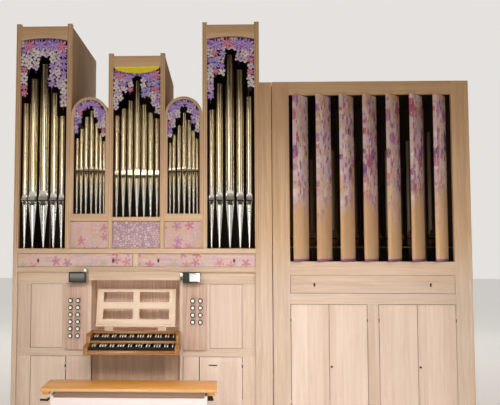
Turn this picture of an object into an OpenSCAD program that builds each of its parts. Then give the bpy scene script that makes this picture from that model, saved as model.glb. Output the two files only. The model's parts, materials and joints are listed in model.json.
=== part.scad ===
// Two-manual pipe organ in limed wood: a case with three towers and two arched flats, and a
// swell case with upright louvres beside it, on one floor.
// X runs to the right along the front, Y to the back, Z up. The origin is on the floor under the
// middle of the main case's front plinth.

/* [Both cases] */
// Depth of both cases, front to back
case_depth = 1150; // [900:10:1400]
// Thickness of side walls, back walls and roofs
wall_t = 22; // [16:1:30]
// Height of the plinth rails
plinth_h = 110; // [80:5:150]

/* [Main case] */
// Width of each post across the front
post_w = 45; // [38:1:55]
// Depth of each post
post_d = 45; // [38:1:55]
// How far the posts stand above their head rails
post_rise = 25; // [10:1:50]
// Clear width of each side tower
tower_open_w = 452; // [440:1:500]
// Clear width between a tower post and a centre post
flat_open_w = 358; // [350:1:400]
// Clear width of the centre tower
centre_open_w = 454; // [446:1:500]
// Top of the side towers above the floor
tower_top_z = 3850; // [3800:10:4000]
// Top of the centre tower above the floor
centre_top_z = 3552; // [3500:10:3700]
// Height of a side tower's head rail at its ends
tower_head_h = 138; // [100:1:180]
// Rise of the shallow arch under a side tower's head rail
tower_head_rise = 23; // [5:1:60]
// Height of the centre tower's head rail
centre_head_h = 107; // [80:1:140]
// Springing height of the flats' round arches
arch_spring_z = 2975; // [2950:5:3010]
// Width of the arch band and of the strips under it
arch_band_w = 26; // [18:1:34]
// Depth of the arch band
arch_d = 30; // [20:1:40]
// Thickness of the round vaults behind the arches
vault_t = 18; // [12:1:24]
// Depth of the boards that the front pipes stand on
toe_board_d = 260; // [200:5:320]
// Thickness of the pierced shades over the pipes
shade_t = 12; // [8:1:16]
// Height of a shade's edge above the pipe top under it
shade_clear = 45; // [30:1:60]
// How far a shade's scallop is wider than its pipe, each side
shade_scallop = 18; // [17:1:24]

/* [Front pipes] */
// Diameter of a pipe foot at its toe
toe_d = 16; // [12:1:20]
// Length of the tower pipes' feet
tower_foot_h = 426; // [380:1:470]
// Length of the flat pipes' feet
flat_foot_h = 375; // [340:1:420]
// Length of the centre pipes' feet
centre_foot_h = 372; // [340:1:420]
// Distance of the tower pipes' axes behind the front
tower_pipe_y = 64; // [62:1:80]
// Distance of the flat pipes' axes behind the front
flat_pipe_y = 56; // [54:1:70]
// Distance of the centre pipes' axes behind the front
centre_pipe_y = 60; // [56:1:70]

/* [Main case, bands between console and pipes] */
// Underside of the rail below the frieze
frieze_rail_z = 1480; // [1470:1:1490]
// Height of the rail below the frieze
frieze_rail_h = 48; // [40:1:60]
// Height of the frieze boards
frieze_h = 127; // [110:1:150]
// Height of the moulded board above the frieze
impost_h = 45; // [35:1:60]
// How far that moulded board stands forward
impost_out = 20; // [8:1:30]
// Height of the row of panels under the flats
panel_row_h = 260; // [220:1:300]
// Height of the flats' toe boards
flat_toe_h = 70; // [50:1:90]
// Height of the centre tower's toe board
centre_toe_h = 40; // [30:1:60]
// Width of the stile between the two frieze boards
frieze_stile_w = 54; // [40:1:80]
// Thickness of panels, frieze boards and doors
board_t = 22; // [18:1:26]

/* [Lower wall] */
// How far the lower wall stands behind the posts' front
lower_set = 30; // [25:1:40]
// Thickness of the lower wall's rails and stiles
lower_t = 30; // [26:1:36]
// Underside of the middle rail
mid_rail_z = 690; // [660:1:710]
// Height of the middle rail
mid_rail_h = 75; // [60:1:90]
// Top of the upper side panels
side_panel_top_z = 1365; // [1340:1:1390]
// Width of each upper side panel
side_panel_w = 305; // [280:1:330]
// Width of the stile between side panel and stop jamb
jamb_stile_w = 31; // [24:1:40]
// Width of each stop jamb
jamb_w = 220; // [200:1:240]
// Width of the light stiles beside the niche
niche_stile_w = 30; // [20:1:34]
// Distance of the niche's sides beyond the ends of the keys
niche_side = 29.25; // [24:0.25:40]
// Width of the left door in the lower wall
left_door_w = 328; // [300:1:340]
// Width of the right door in the lower wall
right_door_w = 396; // [370:1:400]

/* [Console] */
// Top of the niche opening
niche_top_z = 1407; // [1395:1:1412]
// Depth of the niche behind the lower wall
niche_d = 190; // [150:1:260]
// Thickness of the niche lining
lining_t = 18; // [12:1:24]
// Top face of the lower manual's naturals
lower_keys_z = 818; // [800:1:830]
// Rise from the lower to the upper manual
manual_rise = 67; // [62:1:72]
// Set-back from the lower to the upper manual
manual_set = 110; // [100:1:120]
// How far the key desk stands in front of the posts
key_desk_out = 285; // [270:1:300]
// Width of one natural key, with its gap
natural_pitch = 23.5; // [22.5:0.1:23.8]
// Thickness of each key desk cheek
cheek_t = 38; // [30:1:45]
// Height of the music desk's board, along its slope
desk_h = 340; // [300:5:360]
// Width of the music desk
desk_w = 750; // [700:5:800]
// Lean of the music desk from upright
desk_lean = 13.6; // [8:0.1:18]
// Width of the bars between the music desk's windows
desk_bar = 62; // [50:1:70]
// Distance from the key beds' underside to the key desk's underside
desk_drop = 37; // [34:1:60]
// Distance of the music desk's feet from its middle
desk_foot_x = 250; // [220:5:280]
// Height of the header board over the niche
header_h = 77; // [60:1:90]
// How far the header board stands forward
header_out = 100; // [70:1:130]

/* [Mirrors and lamps] */
// Distance of the mirrors' middles outward of the niche's sides
mirror_side = 114; // [108:1:130]
// Width of a mirror
mirror_w = 160; // [140:1:170]
// Height of a mirror
mirror_h = 96; // [80:1:110]
// Thickness of a mirror with its frame
mirror_t = 22; // [14:1:30]
// Lower edge of the mirrors
mirror_z = 1388; // [1380:1:1400]
// How far the mirrors stand in front of the case
mirror_out = 100; // [80:1:120]
// Diameter of a spot lamp
lamp_d = 22; // [18:1:24]
// Length of a spot lamp
lamp_l = 50; // [40:1:60]
// How far the lamps reach in front of the case
lamp_out = 120; // [90:1:140]

/* [Stop knobs] */
// Diameter of a stop knob's head
knob_d = 40; // [30:1:46]
// Thickness of the head
knob_head_t = 18; // [12:1:24]
// Gap between a head and the jamb when the stop is off
knob_gap = 12; // [6:1:20]
// Diameter of the knob's shaft
knob_shaft_d = 12; // [8:1:14]
// Distance between the two columns of knobs
knob_col = 71; // [60:1:80]
// Distance between rows of knobs
knob_row = 65.6; // [60:0.2:68]
// Height of the top row of knobs
knob_top_z = 1214; // [1190:1:1230]

/* [Swell case] */
// Gap between the main case and the swell case
case_gap = 120; // [110:1:150]
// Width of the board that closes most of that gap
filler_w = 114; // [90:1:116]
// Width of the swell case
swell_w = 1845; // [1800:5:1900]
// Height of the swell case
swell_top_z = 3286; // [3200:5:3350]
// Width of the swell case's front stiles with their corner posts
swell_stile_w = 160; // [150:1:170]
// Width of the corner post that shows in those stiles
swell_post_w = 42; // [36:1:50]
// Thickness of the swell case's front
swell_front_t = 35; // [30:1:40]
// Height of the swell case's top rail
swell_head_h = 126; // [110:1:160]
// Top of the sill under the louvres
sill_top_z = 1580; // [1560:1:1600]
// Height of that sill
sill_h = 126; // [100:1:140]
// Height of the removable board under the sill
swell_board_h = 171; // [150:1:190]
// Height of the rail over the cupboard doors
door_rail_h = 98; // [80:1:120]
// Width of the stile between the two pairs of doors
swell_mid_w = 102; // [90:1:120]

/* [Inside the swell case] */
// Thickness of the board that the swell pipes stand on
chest_t = 40; // [30:1:50]
// Distance of that board behind the front
chest_y = 200; // [150:10:250]
// Depth of that board
chest_d = 700; // [600:10:740]
// Distance of the pipes' axes behind the front
swell_pipe_y = 420; // [400:10:500]
// Distance of the outer pipes' axes from the opening's sides
swell_pipe_inset = 60; // [50:5:100]
// Diameter of the thinnest swell pipes
swell_pipe_d = 62; // [50:1:70]
// Height of the shortest swell pipes
swell_pipe_h = 960; // [800:10:1000]
// Length of the swell pipes' feet
swell_foot_h = 220; // [180:5:260]
// Height of the rack rail in front of them
rack_z = 1700; // [1650:10:1900]
// Height of that rail's section
rack_h = 16; // [12:1:24]
// Thickness of that rail
rack_t = 12; // [8:1:16]
// Distance of that rail behind the front
rack_y = 330; // [300:5:350]

/* [Swell louvres] */
// Number of louvres
louvre_n = 7; // [7:1:7]
// Thickness of a louvre
louvre_t = 30; // [24:1:34]
// Gap between neighbouring louvres when shut
louvre_gap = 12; // [10:0.5:16]
// Gap above and below a louvre
louvre_end_gap = 6; // [5:0.5:10]
// Distance of the louvre pivots behind the front
louvre_pivot_y = 12; // [10:0.5:18]
// How far the louvres stand open
louvre_open = 46; // [20:1:60]
// Diameter of the louvre pivot pins
louvre_pin_d = 10; // [8:0.5:12]
// Length of a pin in its rail
louvre_pin_l = 30; // [20:1:40]

/* [Doors] */
// Gap around each door leaf
door_gap = 5; // [5:0.5:7]
// Distance of the right door's grip slot below the middle rail
grip_drop = 81; // [60:1:90]
// Height of the knobs on the swell case's lower doors
swell_knob_z = 612; // [580:1:640]
// Diameter of the hinge barrels
hinge_d = 10; // [8:0.5:10]
// Length of the knuckle on the leaf
hinge_l = 30; // [20:1:40]
// Length of the fixed knuckles above and below it
hinge_end_l = 15; // [10:1:20]
// Diameter of the hinge pins
hinge_pin_d = 5; // [4:0.5:6]
// Width of the hinge plates on leaf and frame
hinge_plate_w = 12; // [8:1:16]

/* [Bench] */
// Length of the bench seat
seat_l = 1417; // [1380:1:1450]
// Width of the seat, front to back
seat_d = 300; // [280:5:330]
// Top of the seat
seat_z = 603; // [580:1:620]
// Thickness of the seat
seat_t = 25; // [20:1:30]
// Distance from the case front to the seat's far edge
seat_out = 820; // [800:5:860]
// Gap between the pedalboard's left end and the bench base
bench_clear = 8; // [6:1:14]
// How far the seat reaches past the bench base at each end
seat_overhang = 80.5; // [76:0.5:86]
// Thickness of the bench base's boards
base_t = 22; // [18:1:26]
// Length of the inner slides under the seat, from its top
slide_l = 283; // [240:1:320]
// Radius of the crank
crank_r = 38; // [30:1:40]

// Distance of the crank's axis behind the base's near edge
crank_in = 115; // [90:5:140]
// Diameter of the crank's shaft
crank_shaft_d = 12; // [10:1:14]
// Diameter of the crank's grip
crank_grip_d = 18; // [14:1:20]
// Thickness of the crank's bearing plate
plate_t = 12; // [8:1:14]
// Width of the bearers outside the bench base
bearer_w = 54; // [44:1:58]
// Thickness of the base's front board and the seat's apron
base_board_t = 18; // [16:1:22]
// Distance from the seat's underside to the top of the base's front board
bench_front_drop = 50; // [44:1:60]
// Width of the bracket at the base's right end
bracket_w = 52; // [40:1:56]
// Height of that bracket
bracket_h = 43; // [36:1:50]

/* [Pedalboard] */
// Number of natural pedals
pedal_n = 16; // [16:1:16]
// Distance between natural pedals
pedal_pitch = 64; // [62:0.5:65]
// Width of a pedal
pedal_w = 24; // [20:1:28]
// Top of the natural pedals
pedal_z = 85; // [80:1:95]
// Length of the pedalboard, front to back
pedal_l = 690; // [660:5:700]
// Length of the sharp pedals
sharp_pedal_l = 160; // [140:5:200]
// Thickness of the pedalboard's end cheeks
pedal_cheek_t = 22; // [18:1:26]
// Gap between the outer pedals' places and the cheeks
pedal_cheek_gap = 6; // [4:1:10]

/* [Hidden] */
$fn = 48;
// front members across the main case, from the middle out
x1 = centre_open_w / 2;
x2 = x1 + post_w;
x3 = x2 + flat_open_w;
x4 = x3 + post_w;
x5 = x4 + tower_open_w;
x6 = x5 + post_w;
// heights of the bands
frieze_z = frieze_rail_z + frieze_rail_h;
impost_z = frieze_z + frieze_h;
tower_toe_z = impost_z + impost_h;
row_top_z = tower_toe_z + panel_row_h;
flat_toe_z = row_top_z + flat_toe_h;
centre_toe_z = row_top_z + centre_toe_h;
// lower wall, from the middle out
lower_back = lower_set + lower_t;
keys_w = 33 * natural_pitch;
n0 = keys_w / 2 + niche_side;
n1 = n0 + niche_stile_w;
n2 = n1 + jamb_w;
n3 = n2 + jamb_stile_w;
n4 = n3 + side_panel_w;
left_hinge_x = -(n2 - 3);
right_hinge_x = n4 - 1;
// back planes
back_y = case_depth - wall_t;
rear_post_y = case_depth - post_d;
frieze_d = lower_set - 2;
// arch
arch_r = flat_open_w / 2;
arch_x = x2 + arch_r;
// console
key_t = 21;
bed_z = lower_keys_z - key_t;
desk_floor_z = bed_z - desk_drop;
cheek_x = keys_w / 2 + 2.25;
upper_keys_z = lower_keys_z + manual_rise;
niche_base_z = upper_keys_z + 45;
natural_front = key_desk_out - 35;
jamb_z0 = mid_rail_z + mid_rail_h - 8;
jamb_z1 = side_panel_top_z + 5;
jamb_mid = (n1 + n2) / 2;
header_z = frieze_rail_z + 7 - header_h;
// swell case
s0 = x6 + case_gap;
s1 = s0 + swell_stile_w;
s3 = s0 + swell_w;
s2 = s3 - swell_stile_w;
s_mid = (s0 + s3) / 2;
swell_head_z = swell_top_z - swell_head_h;
sill_z = sill_top_z - sill_h;
swell_board_z = sill_z - swell_board_h;
swell_door_top = swell_board_z - door_rail_h;
leaf_z0 = plinth_h + door_gap;
swell_half_w = s_mid - swell_mid_w / 2 - s1;
leaf_w = (swell_half_w - 3 * door_gap) / 2;
louvre_pitch = (s2 - s1) / louvre_n;
louvre_w = louvre_pitch - louvre_gap;
louvre_h = swell_head_z - sill_top_z - 2 * louvre_end_gap;
chest_z = sill_z + 46;
// bench
base_l = seat_l - 2 * seat_overhang;
pedal_half = pedal_n * pedal_pitch / 2;
pedal_end = pedal_half + pedal_cheek_gap + pedal_cheek_t;
bench_l0 = -(pedal_end + bench_clear + base_t);
bench_l1 = bench_l0 + base_l;
bench_x = (bench_l0 + bench_l1) / 2;
base_front = -(seat_out - 5);
base_back = base_front + seat_d - 30;
bearer_h = 33;
crank_y = base_front + crank_in;
bearer_z = seat_z - seat_t - bearer_h;
crank_z = bearer_z - crank_r - 16;
pedal_back = -15;

limed = [0.80, 0.71, 0.60];
honey = [0.80, 0.55, 0.28];
tin = [0.78, 0.76, 0.72];

// A board between two corners
module board(xa, xb, ya, yb, za, zb) {
    translate([xa, ya, za]) cube([xb - xa, yb - ya, zb - za]);
}

// The children on both sides of the main case
module both() {
    children();
    mirror([1, 0, 0]) children();
}

// An outline drawn in X and Z, given a depth from ya to yb
module upright(ya, yb) {
    translate([0, yb, 0]) rotate([90, 0, 0]) linear_extrude(yb - ya) children();
}

module case_posts() color(limed) {
    both() {
        board(x5, x6, 0, post_d, 0, tower_top_z + post_rise);
        board(x5, x6, rear_post_y, case_depth, 0, tower_top_z);
        board(x3, x4, 0, post_d, tower_toe_z, tower_top_z + post_rise);
        board(x1, x2, 0, post_d, tower_toe_z, centre_top_z + post_rise);
    }
    for (side = [0, 1]) {
        xa = side == 0 ? s0 : s2;
        groove_x = side == 0 ? s0 + swell_post_w : s3 - swell_post_w;
        difference() {
            board(xa, xa + swell_stile_w, 0, swell_front_t, 0, swell_top_z);
            board(groove_x - 2, groove_x + 2, -1, 4, -1, swell_top_z + 1);
        }
        rear_x = side == 0 ? s0 : s3 - swell_post_w;
        board(rear_x, rear_x + swell_post_w, rear_post_y, case_depth, 0, swell_top_z);
    }
    fixed_hinges(leaf_hinge(1), 0, leaf_z0, swell_door_top - door_gap, -1, 0);
    fixed_hinges(leaf_hinge(4), 0, leaf_z0, swell_door_top - door_gap, 1, 0);
}

module case_rails() color(limed) {
    board(-x5, x5, pedal_back, lower_back, 0, plinth_h);
    both() {
        board(n1, x5, lower_set, lower_back, mid_rail_z, mid_rail_z + mid_rail_h);
        board(n1, x5, lower_set, lower_back, side_panel_top_z, frieze_z);
        board(x2, x3, -impost_out / 2, toe_board_d, row_top_z, flat_toe_z);
    }
    board(-x5, x5, 0, frieze_d, frieze_rail_z, frieze_z);
    board(-x5, x5, -impost_out, toe_board_d, impost_z, tower_toe_z);
    board(-x1, x1, -impost_out / 2, toe_board_d, row_top_z, centre_toe_z);
    difference() {
        union() {
            board(s1, s2, 0, swell_front_t, swell_head_z, swell_top_z);
            board(s1, s2, 0, swell_front_t, sill_z, sill_top_z);
        }
        for (i = [0 : louvre_n - 1])
            translate([s1 + (i + 0.5) * louvre_pitch, louvre_pivot_y, 0]) {
                translate([0, 0, sill_top_z - louvre_pin_l])
                    cylinder(h = louvre_pin_l + 1, d = louvre_pin_d + 0.2);
                translate([0, 0, swell_head_z - 1])
                    cylinder(h = louvre_pin_l + 1, d = louvre_pin_d + 0.2);
            }
    }
    board(s1, s2, 0, swell_front_t, swell_door_top, swell_board_z);
    board(s1, s2, 0, swell_front_t, 0, plinth_h);
}

module case_stiles() color(limed) {
    both() {
        board(n4, x5, lower_set, lower_back, mid_rail_z + mid_rail_h, side_panel_top_z);
        board(n2, n3, lower_set, lower_back, mid_rail_z + mid_rail_h, side_panel_top_z);
        board(n0, n1, 0, lower_back, plinth_h, niche_top_z);
    }
    board(-x5, left_hinge_x - left_door_w - door_gap * 1.5, lower_set, lower_back,
          plinth_h, mid_rail_z);
    board(right_hinge_x + door_gap / 2, x5, lower_set, lower_back, plinth_h, mid_rail_z);
    board(-frieze_stile_w / 2, frieze_stile_w / 2, 0, frieze_d, frieze_z, impost_z);
    board(s_mid - swell_mid_w / 2, s_mid + swell_mid_w / 2, 0, swell_front_t,
          plinth_h, swell_door_top);
    fixed_hinges(leaf_hinge(2), 0, leaf_z0, swell_door_top - door_gap, 1, 0);
    fixed_hinges(leaf_hinge(3), 0, leaf_z0, swell_door_top - door_gap, -1, 0);
    fixed_hinges(right_hinge_x, lower_set, leaf_z0, mid_rail_z - door_gap, 1, lower_set);
}

// A head rail with a shallow arch cut in its underside
module top_rails() color(limed) {
    rise = tower_head_rise;
    half = tower_open_w / 2;
    arc_r = (half * half + rise * rise) / (2 * rise);
    both() translate([(x4 + x5) / 2, 0, 0]) upright(0, post_d) difference() {
        translate([-half, tower_top_z - tower_head_h]) square([2 * half, tower_head_h]);
        translate([0, tower_top_z - tower_head_h + rise - arc_r]) circle(arc_r, $fn = 360);
    }
    board(-x1, x1, 0, post_d, centre_top_z - centre_head_h, centre_top_z);
}

// A round-headed outline of radius r with straight sides down to z0
module arch_outline(r, z0) {
    intersection() {
        translate([0, arch_spring_z]) circle(r, $fn = 96);
        translate([-r, arch_spring_z]) square([2 * r, 2 * r]);
    }
    translate([-r, z0]) square([2 * r, arch_spring_z - z0]);
}

// The flats' arch bands, with their side strips
module flat_arches() color(limed) {
    both() translate([arch_x, 0, 0]) upright(0, arch_d) difference() {
        arch_outline(arch_r, flat_toe_z);
        arch_outline(arch_r - arch_band_w, flat_toe_z - 1);
    }
}

module flat_vaults() color(limed) {
    both() translate([arch_x, 0, 0]) upright(arch_d, back_y) difference() {
        arch_outline(arch_r, arch_spring_z - 35);
        arch_outline(arch_r - vault_t, arch_spring_z - 36);
    }
}

module side_walls() color(limed) {
    both() {
        board(x6 - 10 - wall_t, x6 - 10, post_d, rear_post_y, 0, tower_top_z);
        board(x3, x3 + wall_t, post_d, back_y, arch_spring_z - 35, tower_top_z);
        board(x2 - wall_t, x2, post_d, back_y, arch_spring_z - 35, centre_top_z);
    }
    board(s0 + 10, s0 + 10 + wall_t, swell_front_t, rear_post_y, 0, swell_top_z);
    board(s3 - 10 - wall_t, s3 - 10, swell_front_t, rear_post_y, 0, swell_top_z);
}

module back_walls() color(limed) {
    upright(back_y, case_depth) {
        translate([-x5, 0]) square([2 * x5, arch_spring_z]);
        translate([-x2, arch_spring_z - 1]) square([2 * x2, centre_top_z - arch_spring_z + 1]);
        both() translate([arch_x, arch_spring_z]) circle(arch_r, $fn = 96);
        both() translate([x3, arch_spring_z - 1])
            square([x5 - x3, tower_top_z - arch_spring_z + 1]);
    }
    board(s0 + swell_post_w, s3 - swell_post_w, back_y, case_depth, 0, swell_top_z);
}

module roofs() color(limed) {
    both() difference() {
        board(x3 + wall_t, x6 - 10 - wall_t, post_d, back_y,
              tower_top_z - wall_t, tower_top_z);
        board(x5, x6, rear_post_y, case_depth, tower_top_z - wall_t - 1, tower_top_z + 1);
    }
    board(-(x2 - wall_t), x2 - wall_t, post_d, back_y, centre_top_z - wall_t, centre_top_z);
    difference() {
        board(s0 + 10 + wall_t, s3 - 10 - wall_t, swell_front_t, back_y,
              swell_top_z - wall_t, swell_top_z);
        for (xa = [s0, s3 - swell_post_w])
            board(xa, xa + swell_post_w, rear_post_y, case_depth,
                  swell_top_z - wall_t - 1, swell_top_z + 1);
    }
}

// Depth below the head to which a shade over these pipes hangs
function shade_drop(pipes) = max([for (p = pipes) p[2]]) - shade_clear;

// Round-topped slots that open a shade over each pipe, down past its lower edge
module pipe_slots(pipes, head_z) {
    low_z = head_z - shade_drop(pipes) - 1;
    for (p = pipes) {
        r = p[1] / 2 + shade_scallop;
        slot_z = head_z - p[2] + shade_clear - r;
        translate([p[0], slot_z]) circle(r);
        translate([p[0] - r, low_z - r]) square([2 * r, slot_z - low_z + r]);
    }
}

// Pierced carved shades that hang over the pipe tops, scalloped to follow them
module flat_head_shade(pipes, w, head_z, rise) {
    drop = shade_drop(pipes);
    difference() {
        union() {
            translate([-w / 2, head_z - drop]) square([w, drop]);
            if (rise > 0) intersection() {
                arc_r = (w * w / 4 + rise * rise) / (2 * rise);
                translate([-w / 2, head_z - 1]) square([w, rise + 1]);
                translate([0, head_z + rise - arc_r]) circle(arc_r, $fn = 360);
            }
        }
        pipe_slots(pipes, head_z);
        for (k = [-1, 1]) {
            translate([k * w * 0.33, head_z - w * 0.22]) circle(w * 0.066);
            translate([k * w * 0.40, head_z - w * 0.46]) circle(w * 0.05);
        }
    }
}

module arch_shade(pipes) {
    head_z = arch_spring_z + arch_r - arch_band_w;
    intersection() {
        difference() {
            arch_outline(arch_r - arch_band_w, head_z - shade_drop(pipes));
            pipe_slots(pipes, head_z);
        }
        translate([-arch_r, head_z - shade_drop(pipes)]) square(2 * arch_r);
    }
}

module pipe_shades() color("plum") {
    tower_x = (x4 + x5) / 2;
    tower_head = tower_top_z - tower_head_h;
    centre_head = centre_top_z - centre_head_h;
    upright(0, shade_t) {
        translate([-tower_x, 0])
            flat_head_shade(left_tower_pipes, tower_open_w, tower_head, tower_head_rise);
        translate([tower_x, 0])
            flat_head_shade(right_tower_pipes, tower_open_w, tower_head, tower_head_rise);
        flat_head_shade(centre_pipes, centre_open_w, centre_head, 0);
        translate([-arch_x, 0]) arch_shade(left_flat_pipes);
        translate([arch_x, 0]) arch_shade(right_flat_pipes);
    }
}

// A metal pipe: conical foot, body, and a mouth cut in the front
module pipe(x, y, toe_z, foot, d, top_z) {
    translate([x, y, toe_z]) difference() {
        union() {
            cylinder(h = foot, d1 = toe_d, d2 = d);
            translate([0, 0, foot]) cylinder(h = top_z - toe_z - foot, d = d);
        }
        translate([-d * 0.36, -d, foot + 28]) cube([d * 0.72, d * 0.72, 9]);
    }
}

// Offset from the tower's middle, diameter and drop below the head rail of each tower pipe
left_tower_pipes = [[-185, 58, 608], [-105, 84, 374], [0, 94, 228],
                    [97, 68, 509], [174, 58, 734]];
right_tower_pipes = [[-184, 56, 682], [-108, 72, 431], [-9, 88, 155],
                     [89, 76, 297], [177, 64, 559]];
// Offset from the flat's middle, diameter and drop below the arch's crown of each flat pipe
left_flat_pipes = [[-129, 32, 369], [-87, 37, 277], [-40, 42, 161], [11, 44, 99],
                   [59, 38, 225], [98, 33, 322], [133, 29, 399]];
right_flat_pipes = [[-132, 30, 413], [-94, 34, 336], [-46, 40, 250], [5, 46, 125],
                    [54, 40, 193], [94, 34, 299], [129, 30, 376]];
centre_pipes = [[-196, 48, 466], [-131, 52, 399], [-67, 56, 322], [2, 62, 128],
                [69, 56, 362], [132, 52, 440], [195, 48, 498]];

// One group of pipes at y on its toe board, hung from head_z
module pipe_group(pipes, x, y, toe_z, foot, head_z) {
    for (p = pipes) pipe(x + p[0], y, toe_z, foot, p[1], head_z - p[2]);
}

module front_pipes() color(tin) {
    tower_x = (x4 + x5) / 2;
    tower_head = tower_top_z - tower_head_h;
    arch_head = arch_spring_z + arch_r - arch_band_w;
    pipe_group(left_tower_pipes, -tower_x, tower_pipe_y, tower_toe_z, tower_foot_h, tower_head);
    pipe_group(right_tower_pipes, tower_x, tower_pipe_y, tower_toe_z, tower_foot_h, tower_head);
    pipe_group(left_flat_pipes, -arch_x, flat_pipe_y, flat_toe_z, flat_foot_h, arch_head);
    pipe_group(right_flat_pipes, arch_x, flat_pipe_y, flat_toe_z, flat_foot_h, arch_head);
    pipe_group(centre_pipes, 0, centre_pipe_y, centre_toe_z, centre_foot_h,
               centre_top_z - centre_head_h);
}

module wall_panels() color(limed) {
    panel_y = lower_set + 8;
    both() board(n3, n4, panel_y, panel_y + board_t - 6,
                 mid_rail_z + mid_rail_h, side_panel_top_z);
    both() board(x2, x3, 8, board_t + 2, tower_toe_z, row_top_z);
    board(-x1, x1, 8, board_t + 2, tower_toe_z, row_top_z);
    board(left_hinge_x + door_gap / 2, -n1, lower_set + 4, lower_back - 4,
          plinth_h, mid_rail_z);
    board(n1, right_hinge_x - right_door_w - door_gap * 1.5, lower_set + 4, lower_back - 4,
          plinth_h, mid_rail_z);
    board(-n0, n0, lower_set + 4, lower_back - 8, plinth_h, desk_floor_z);
    fixed_hinges(left_hinge_x, lower_set, leaf_z0, mid_rail_z - door_gap, 1, lower_set + 4);
}

// A keyhole sunk in an access board
module keyhole(x, z) {
    translate([x, -1, z]) rotate([-90, 0, 0]) cylinder(h = 12, d = 16);
    board(x - 4, x + 4, -1, 11, z - 20, z);
}

module access_boards() color(limed) {
    for (side = [-1, 1]) difference() {
        xa = side < 0 ? -x5 : frieze_stile_w / 2;
        board(xa, xa + x5 - frieze_stile_w / 2, 0, board_t, frieze_z, impost_z);
        for (hx = [0.18, 0.83])
            keyhole(side * (x5 - (x5 - frieze_stile_w / 2) * hx), frieze_z + frieze_h / 2);
    }
    difference() {
        board(s1, s2, 4, 4 + board_t, swell_board_z, sill_z);
        for (hx = [0.147, 0.853])
            keyhole(s1 + (s2 - s1) * hx, swell_board_z + swell_board_h / 2);
    }
}

// Place of stop knob k on one side: two columns, filled row by row
function knob_x(k) = jamb_mid + (k % 2 == 0 ? 1 : -1) * knob_col / 2 + 18;
function knob_z(k) = knob_top_z - floor(k / 2) * knob_row;

module stop_jambs() color(limed) {
    for (side = [-1, 1]) difference() {
        board(side < 0 ? -n2 : n1, side < 0 ? -n1 : n2, 0, lower_set, jamb_z0, jamb_z1);
        for (k = [0 : (side < 0 ? 11 : 7)])
            translate([side * knob_x(k), -1, knob_z(k)]) rotate([-90, 0, 0])
                cylinder(h = lower_set + 2, d = knob_shaft_d + 0.2);
    }
}

module stop_knob(side, k) {
    translate([side * knob_x(k), 0, knob_z(k)]) rotate([-90, 0, 0]) {
        color("white") translate([0, 0, -knob_gap - knob_head_t])
            cylinder(h = knob_head_t, d = knob_d);
        color("dimgray") translate([0, 0, -knob_gap]) cylinder(h = knob_gap + 110,
                                                              d = knob_shaft_d);
    }
}

module console_niche() color(limed) {
    niche_back = lower_back + niche_d;
    board(-n1, n1, lower_set, lower_back, niche_top_z, frieze_z);
    board(-n0 - lining_t, n0 + lining_t, lower_back, niche_back, niche_top_z,
          niche_top_z + lining_t);
    both() board(n0, n0 + lining_t, lower_back, niche_back, niche_base_z - lining_t,
                 niche_top_z);
    board(-n0 - lining_t, n0 + lining_t, niche_back, niche_back + lining_t,
          niche_base_z - lining_t, niche_top_z + lining_t);
    board(-n0, n0, lower_back, niche_back, niche_base_z - lining_t, niche_base_z);
    header_x = n0 + 6;
    board(-header_x, header_x, -header_out, -header_out + 18, header_z, header_z + header_h);
    board(-header_x, header_x, -header_out + 18, lower_set, frieze_rail_z - 18, frieze_rail_z);
    both() board(header_x - 18, header_x, -header_out + 18, 0, header_z, frieze_rail_z - 18);
}

// The sloping music desk with its four windows, on a ledge with two feet
module music_desk() color([0.88, 0.80, 0.68]) {
    window_w = 283;
    window_h = 98;
    ledge_z = niche_base_z + 42;
    board(-desk_w / 2, desk_w / 2, -6, 46, ledge_z, ledge_z + 16);
    for (side = [-1, 1]) board(side * desk_foot_x - 40, side * desk_foot_x + 40, 8, 38,
                               niche_base_z, ledge_z);
    translate([0, 14, ledge_z + 12]) rotate([-desk_lean, 0, 0]) difference() {
        board(-desk_w / 2, desk_w / 2, 0, 14, 0, desk_h);
        for (side = [-1, 1], row = [0, 1])
            board(side * (desk_bar / 2 + window_w / 2) - window_w / 2,
                  side * (desk_bar / 2 + window_w / 2) + window_w / 2, -1, 15,
                  52 + row * (window_h + desk_bar), 52 + row * (window_h + desk_bar) + window_h);
    }
}

module key_desk() color(honey) {
    out = key_desk_out;
    step_y = -(natural_front - manual_set) - 10;
    cheek_out = cheek_x + cheek_t;
    board(-cheek_out, cheek_out, -out, 0, desk_floor_z, desk_floor_z + 17);
    board(-n0, n0, 0, lower_back, desk_floor_z, desk_floor_z + 17);
    board(-cheek_x, cheek_x, -natural_front - 25, 0, desk_floor_z + 17, bed_z);
    board(-cheek_x, cheek_x, step_y, 0, upper_keys_z - key_t - 24, upper_keys_z - key_t);
    board(-n0, n0, 0, lower_back, niche_base_z - 25, niche_base_z);
    both() translate([cheek_x, 0, 0]) rotate([90, 0, 90]) linear_extrude(cheek_t)
        polygon([[-out, desk_floor_z], [0, desk_floor_z], [0, niche_base_z],
                 [step_y + 12, niche_base_z], [step_y - 8, niche_base_z - 20],
                 [step_y - 8, lower_keys_z + 27], [-out + 22, lower_keys_z + 27],
                 [-out, lower_keys_z + 5]]);
}

// One manual's naturals: a bed of keys with a groove between neighbours
module naturals(front, back, top) {
    difference() {
        board(-keys_w / 2, keys_w / 2, front, back, top - key_t, top);
        for (k = [1 : 32])
            board(-keys_w / 2 + k * natural_pitch - 0.5, -keys_w / 2 + k * natural_pitch + 0.5,
                  front - 1, back - 20, top - 6, top + 1);
    }
}

module manual_naturals() color([0.08, 0.07, 0.07]) {
    naturals(-natural_front, -5, lower_keys_z);
    naturals(-natural_front + manual_set, -5, upper_keys_z);
}

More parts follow.
